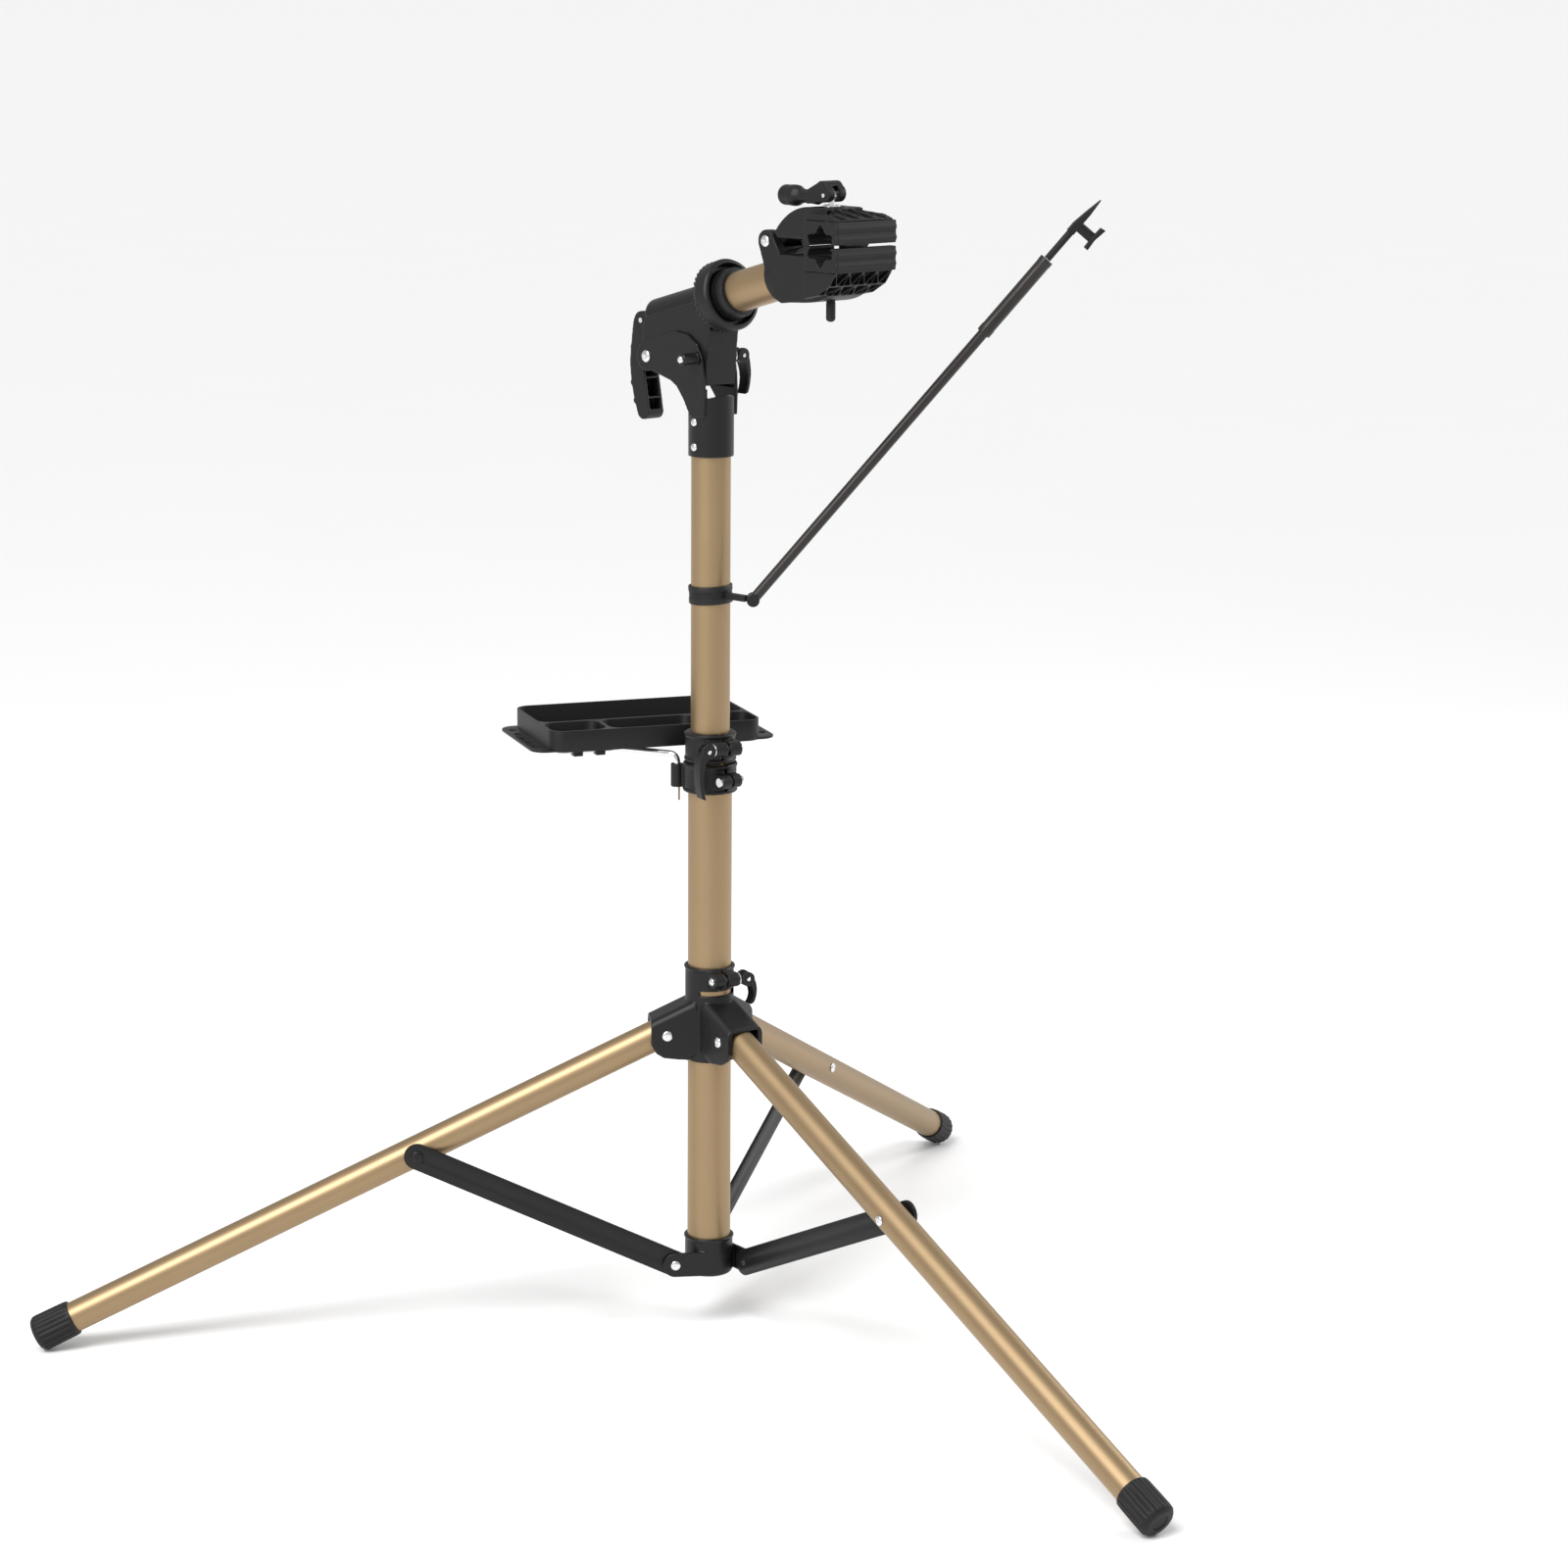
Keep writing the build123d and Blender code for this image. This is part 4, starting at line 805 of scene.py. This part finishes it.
def arm_cup():
    profile = [
        (33.4, 10.3), (33.4, 24.4), (34.0, 25.0), (41.0, 25.0), (43.2, 24.2), (44.0, 22.8), (44.0, 20.1),
        (36.4, 20.1), (36.4, 10.3),
    ]
    return sleeve(profile, ARM_FOOT, ARM, 96)


def handle_pockets(pin):
    """The channel in the lock handle's outer face, in three steps that follow its curve."""
    u, z = pin.dot(HEAD_OUT), pin.z
    pockets = []
    for top, foot, back in ((-19, -57, -11.0), (-59.2, -77, -7.0), (-79.2, -90, -1.0)):
        outline = [(-7.6, z + foot), (7.6, z + foot), (7.6, z + top), (-7.6, z + top)]
        pockets.append(prism(outline, ORIGIN, HEAD_SIDE, UP, u + back, u + 20.0))
    return pockets


def handle_grips(pin):
    """Finger ridges across the back of the lock handle."""
    u, z = pin.dot(HEAD_OUT), pin.z
    grips = []
    for drop in (-28, -46, -64, -82):
        spot = head_point(u - 13.4 if drop > -70 else u - 9.0, z + drop)
        grips.append(turning([(-10.4, 3.0), (-9.8, 3.6), (9.8, 3.6), (10.4, 3.0)], spot, HEAD_SIDE, 24))
    return grips


class HeadOperator(bpy.types.Operator):
    """Yoke, arm housing, toothed ring, cup and lock handle"""

    bl_idname = "repair_stand.head"
    bl_label = "Folding head"

    def execute(self, context):
        skin = context.scene.repair_stand.skin
        yoke = mould("yoke_skin", [cad_solid("head_yoke")], [], skin * 0.9, 5, 0.35)
        dress(yoke, "coat", "upper_post", ["head_yoke"])
        collar = sleeve([(6.5, 17.0), (6.5, 19.0), (8.0, 20.5), (10.8, 21.5), (10.8, 17.0)], ARM_FOOT, ARM)
        housing = mould("arm_housing_skin", [cad_solid("arm_housing"), collar], [], skin, 8, 0.35)
        dress(housing, "coat", "arm_housing", ["arm_housing"])
        ring = turned("index_ring_teeth", [toothed_ring(context.scene.repair_stand.ring_teeth)])
        dress(ring, "plastic", "arm_housing", ["index_ring"])
        cup = turned("arm_cup_ring", [arm_cup()])
        dress(cup, "plastic", "clamp_arm", ["arm_cup"])
        pin = arm_point(-98.0)
        pockets, grips = handle_pockets(pin), handle_grips(pin)
        handle = mould("lock_handle_grip", [cad_solid("lock_lever"), *grips], pockets, skin * 0.8, 4, 0.35)
        dress(handle, "plastic", "lock_handle", ["lock_lever"])
        return {"FINISHED"}


def lattice(first, second, span, bays, rib, depth, inward):
    """Pockets between zigzag ribs, on a strip as wide as the span that runs from first to second."""
    run = second - first
    along = run.normalized()
    near, far = rib, run.length - rib
    normal = HEAD_SIDE.cross(along)
    low, high = (-2.0, depth) if normal.dot(inward) > 0 else (-depth, 2.0)
    pitch = span / bays
    lean = rib * 1.3
    cuts = []
    for i in range(bays):
        left = -span / 2 + pitch * i
        right = left + pitch
        middle = (left + right) / 2
        outlines = [
            [(left + lean, near), (right - lean, near), (middle + 0.3, far - lean), (middle - 0.3, far - lean)],
            [(left + 0.3, near + lean), (middle - lean, far), (left + 0.3, far)],
            [(right - 0.3, near + lean), (right - 0.3, far), (middle + lean, far)],
        ]
        for outline in outlines:
            cuts.append(prism(outline, first, HEAD_SIDE, along, low, high))
    return cuts


def pad_lips(way):
    """Ridges along a jaw's rubber pad, above or below the middle of the jaws."""
    lips = []
    for u, drop, radius in ((216.2, 7.5, 4.6), (215.6, 17.5, 5.0), (205.0, 20.0, 5.0)):
        profile = [(-40.5, radius - 1.5), (-39.0, radius), (39.0, radius), (40.5, radius - 1.5)]
        lips.append(turning(profile, head_point(u, JAW_MIDDLE + way * drop), HEAD_SIDE, 32))
    return lips


class ClampOperator(bpy.types.Operator):
    """Jaws with crossing ribs, rubber pads, cam lever and the rod's cap"""

    bl_idname = "repair_stand.clamp"
    bl_label = "Clamp"

    def execute(self, context):
        skin = context.scene.repair_stand.skin
        inward = head_point(-0.7, 0.7)
        cuts = lattice(head_point(217.0, 1117.6), head_point(207.4, 1104.4), 74.0, 4, 0.8, 6.0, inward)
        cuts += lattice(head_point(206.8, 1103.4), head_point(191.0, 1094.2), 74.0, 4, 0.8, 6.0, inward)
        body = mould("clamp_body_skin", [cad_solid("clamp_body")], cuts, skin, 3, 0.4)
        dress(body, "plastic", "clamp_arm", ["clamp_body"])
        inward = head_point(-0.3, -1.0)
        cuts = lattice(head_point(216.0, 1168.6), head_point(189.0, 1176.0), 74.0, 4, 0.8, 5.0, inward)
        jaw = mould("upper_jaw_skin", [cad_solid("upper_jaw")], cuts, skin, 3, 0.4)
        dress(jaw, "plastic", "upper_jaw", ["upper_jaw"])
        for name, body, way in (("upper_pad", "upper_jaw", 1), ("lower_pad", "clamp_arm", -1)):
            pad = mould(f"{name}_rubber", [cad_solid(name), *pad_lips(way)], [], skin * 0.9, 3, 0.4)
            dress(pad, "rubber", body, [name])
        centre = head_point(CLAMP_ROD_OUT, 1185.5)
        profile = [
            (18.0, 7.6), (24.0, 7.2), (30.0, 6.6), (36.0, 6.6), (41.0, 7.2), (44.0, 8.8), (46.5, 10.0),
            (50.0, 10.4), (54.0, 10.4), (58.0, 9.4), (60.6, 6.6), (61.6, 2.5),
        ]
        grip = turning(profile, centre, -HEAD_OUT, 40)
        lever = mould("cam_lever_grip", [cad_solid("cam_lever"), grip], [], 0.5, 4, 0.4)
        dress(lever, "plastic", "clamp_lever", ["cam_lever"])
        profile = [(0.0, 1.2), (0.5, 2.8), (1.6, 4.1), (3.2, 4.6), (18.0, 4.6), (20.2, 4.0), (20.9, 3.1)]
        tip = turned("clamp_rod_tip", [turning(profile, head_point(CLAMP_ROD_OUT, 1067.0), UP, 32)])
        dress(tip, "rubber", "clamp_rod", ["clamp_rod_cap"])
        return {"FINISHED"}


class TrayOperator(bpy.types.Operator):
    """Tool tray with eased edges, and the clips on its rod"""

    bl_idname = "repair_stand.tray"
    bl_label = "Tool tray"

    def execute(self, context):
        tray = bevelled("tool_tray_shell", [cad_solid("tool_tray")], [], 0.7, 2)
        dress(tray, "plate", "tray", ["tool_tray"])
        clips = mould("tray_rod_clips", [cad_solid("tray_clips")], [], 0.5, 3, 0.4)
        dress(clips, "plastic", "tray", ["tray_clips"])
        return {"FINISHED"}


class RodOperator(bpy.types.Operator):
    """Rubber band on the post, its link, the rod's sleeve and the hook"""

    bl_idname = "repair_stand.rod"
    bl_label = "Steadying rod"

    def execute(self, context):
        lean = (UP + outward(0.0) * -0.05).normalized()
        profile = [
            (-9.0, 20.5), (-9.0, 22.0), (-8.2, 22.5), (-3.5, 22.4), (-3.0, 21.9), (3.0, 21.9), (3.5, 22.4),
            (8.2, 22.5), (9.0, 22.0), (9.0, 20.5),
        ]
        band = turned("post_band", [sleeve(profile, UP * 781.0, lean, 96)])
        dress(band, "rubber", "upper_post", ["post_strap"])
        link = mould("band_link", [cad_solid("strap_link")], [], 0.4, 3, 0.4)
        dress(link, "plastic", "upper_post", ["strap_link"])
        rise = math.radians(49.8)
        along = outward(-6.3) * math.cos(rise) + UP * math.sin(rise)
        root = Vector((38.0, -44.0, 781.0))
        profile = [
            (350.0, 5.4), (350.0, 6.6), (351.0, 7.4), (358.0, 7.4), (359.0, 7.0), (440.0, 7.0),
            (441.0, 7.3), (445.4, 7.3), (446.0, 6.6), (446.0, 1.0), (443.2, 1.0), (443.2, 5.4),
        ]
        tube = turned("rod_sleeve", [sleeve(profile, root, along, 40)])
        dress(tube, "rod", "rod_upper", ["rod_upper"])
        hook = mould("rod_hook_skin", [cad_solid("rod_hook")], [], 0.45, 4, 0.4)
        dress(hook, "rubber", "rod_hook", ["rod_hook"])
        return {"FINISHED"}


OPERATORS = (
    StageOperator,
    TubesOperator,
    FeetOperator,
    HubsOperator,
    StrutsOperator,
    FastenersOperator,
    LeversOperator,
    HeadOperator,
    ClampOperator,
    TrayOperator,
    RodOperator,
)


class StandPanel(bpy.types.Panel):
    """Lists the stand's pieces and their settings"""

    bl_idname = "VIEW3D_PT_repair_stand"
    bl_label = "Repair stand"
    bl_space_type = "VIEW_3D"
    bl_region_type = "UI"
    bl_category = "Repair stand"

    def draw(self, context):
        stand = context.scene.repair_stand
        for name in ("bronze", "black", "floor", "foot_ribs", "ring_teeth", "skin"):
            self.layout.prop(stand, name)
        for operator in OPERATORS:
            self.layout.operator(operator.bl_idname)


CLASSES = (StandSettings, *OPERATORS, StandPanel)


def register():
    for entry in CLASSES:
        bpy.utils.register_class(entry)
    bpy.types.Scene.repair_stand = PointerProperty(type=StandSettings)


def unregister():
    del bpy.types.Scene.repair_stand
    for entry in reversed(CLASSES):
        bpy.utils.unregister_class(entry)


def main():
    register()
    for operator in OPERATORS:
        family, name = operator.bl_idname.split(".")
        getattr(getattr(bpy.ops, family), name)()


if __name__ == "__main__":
    main()
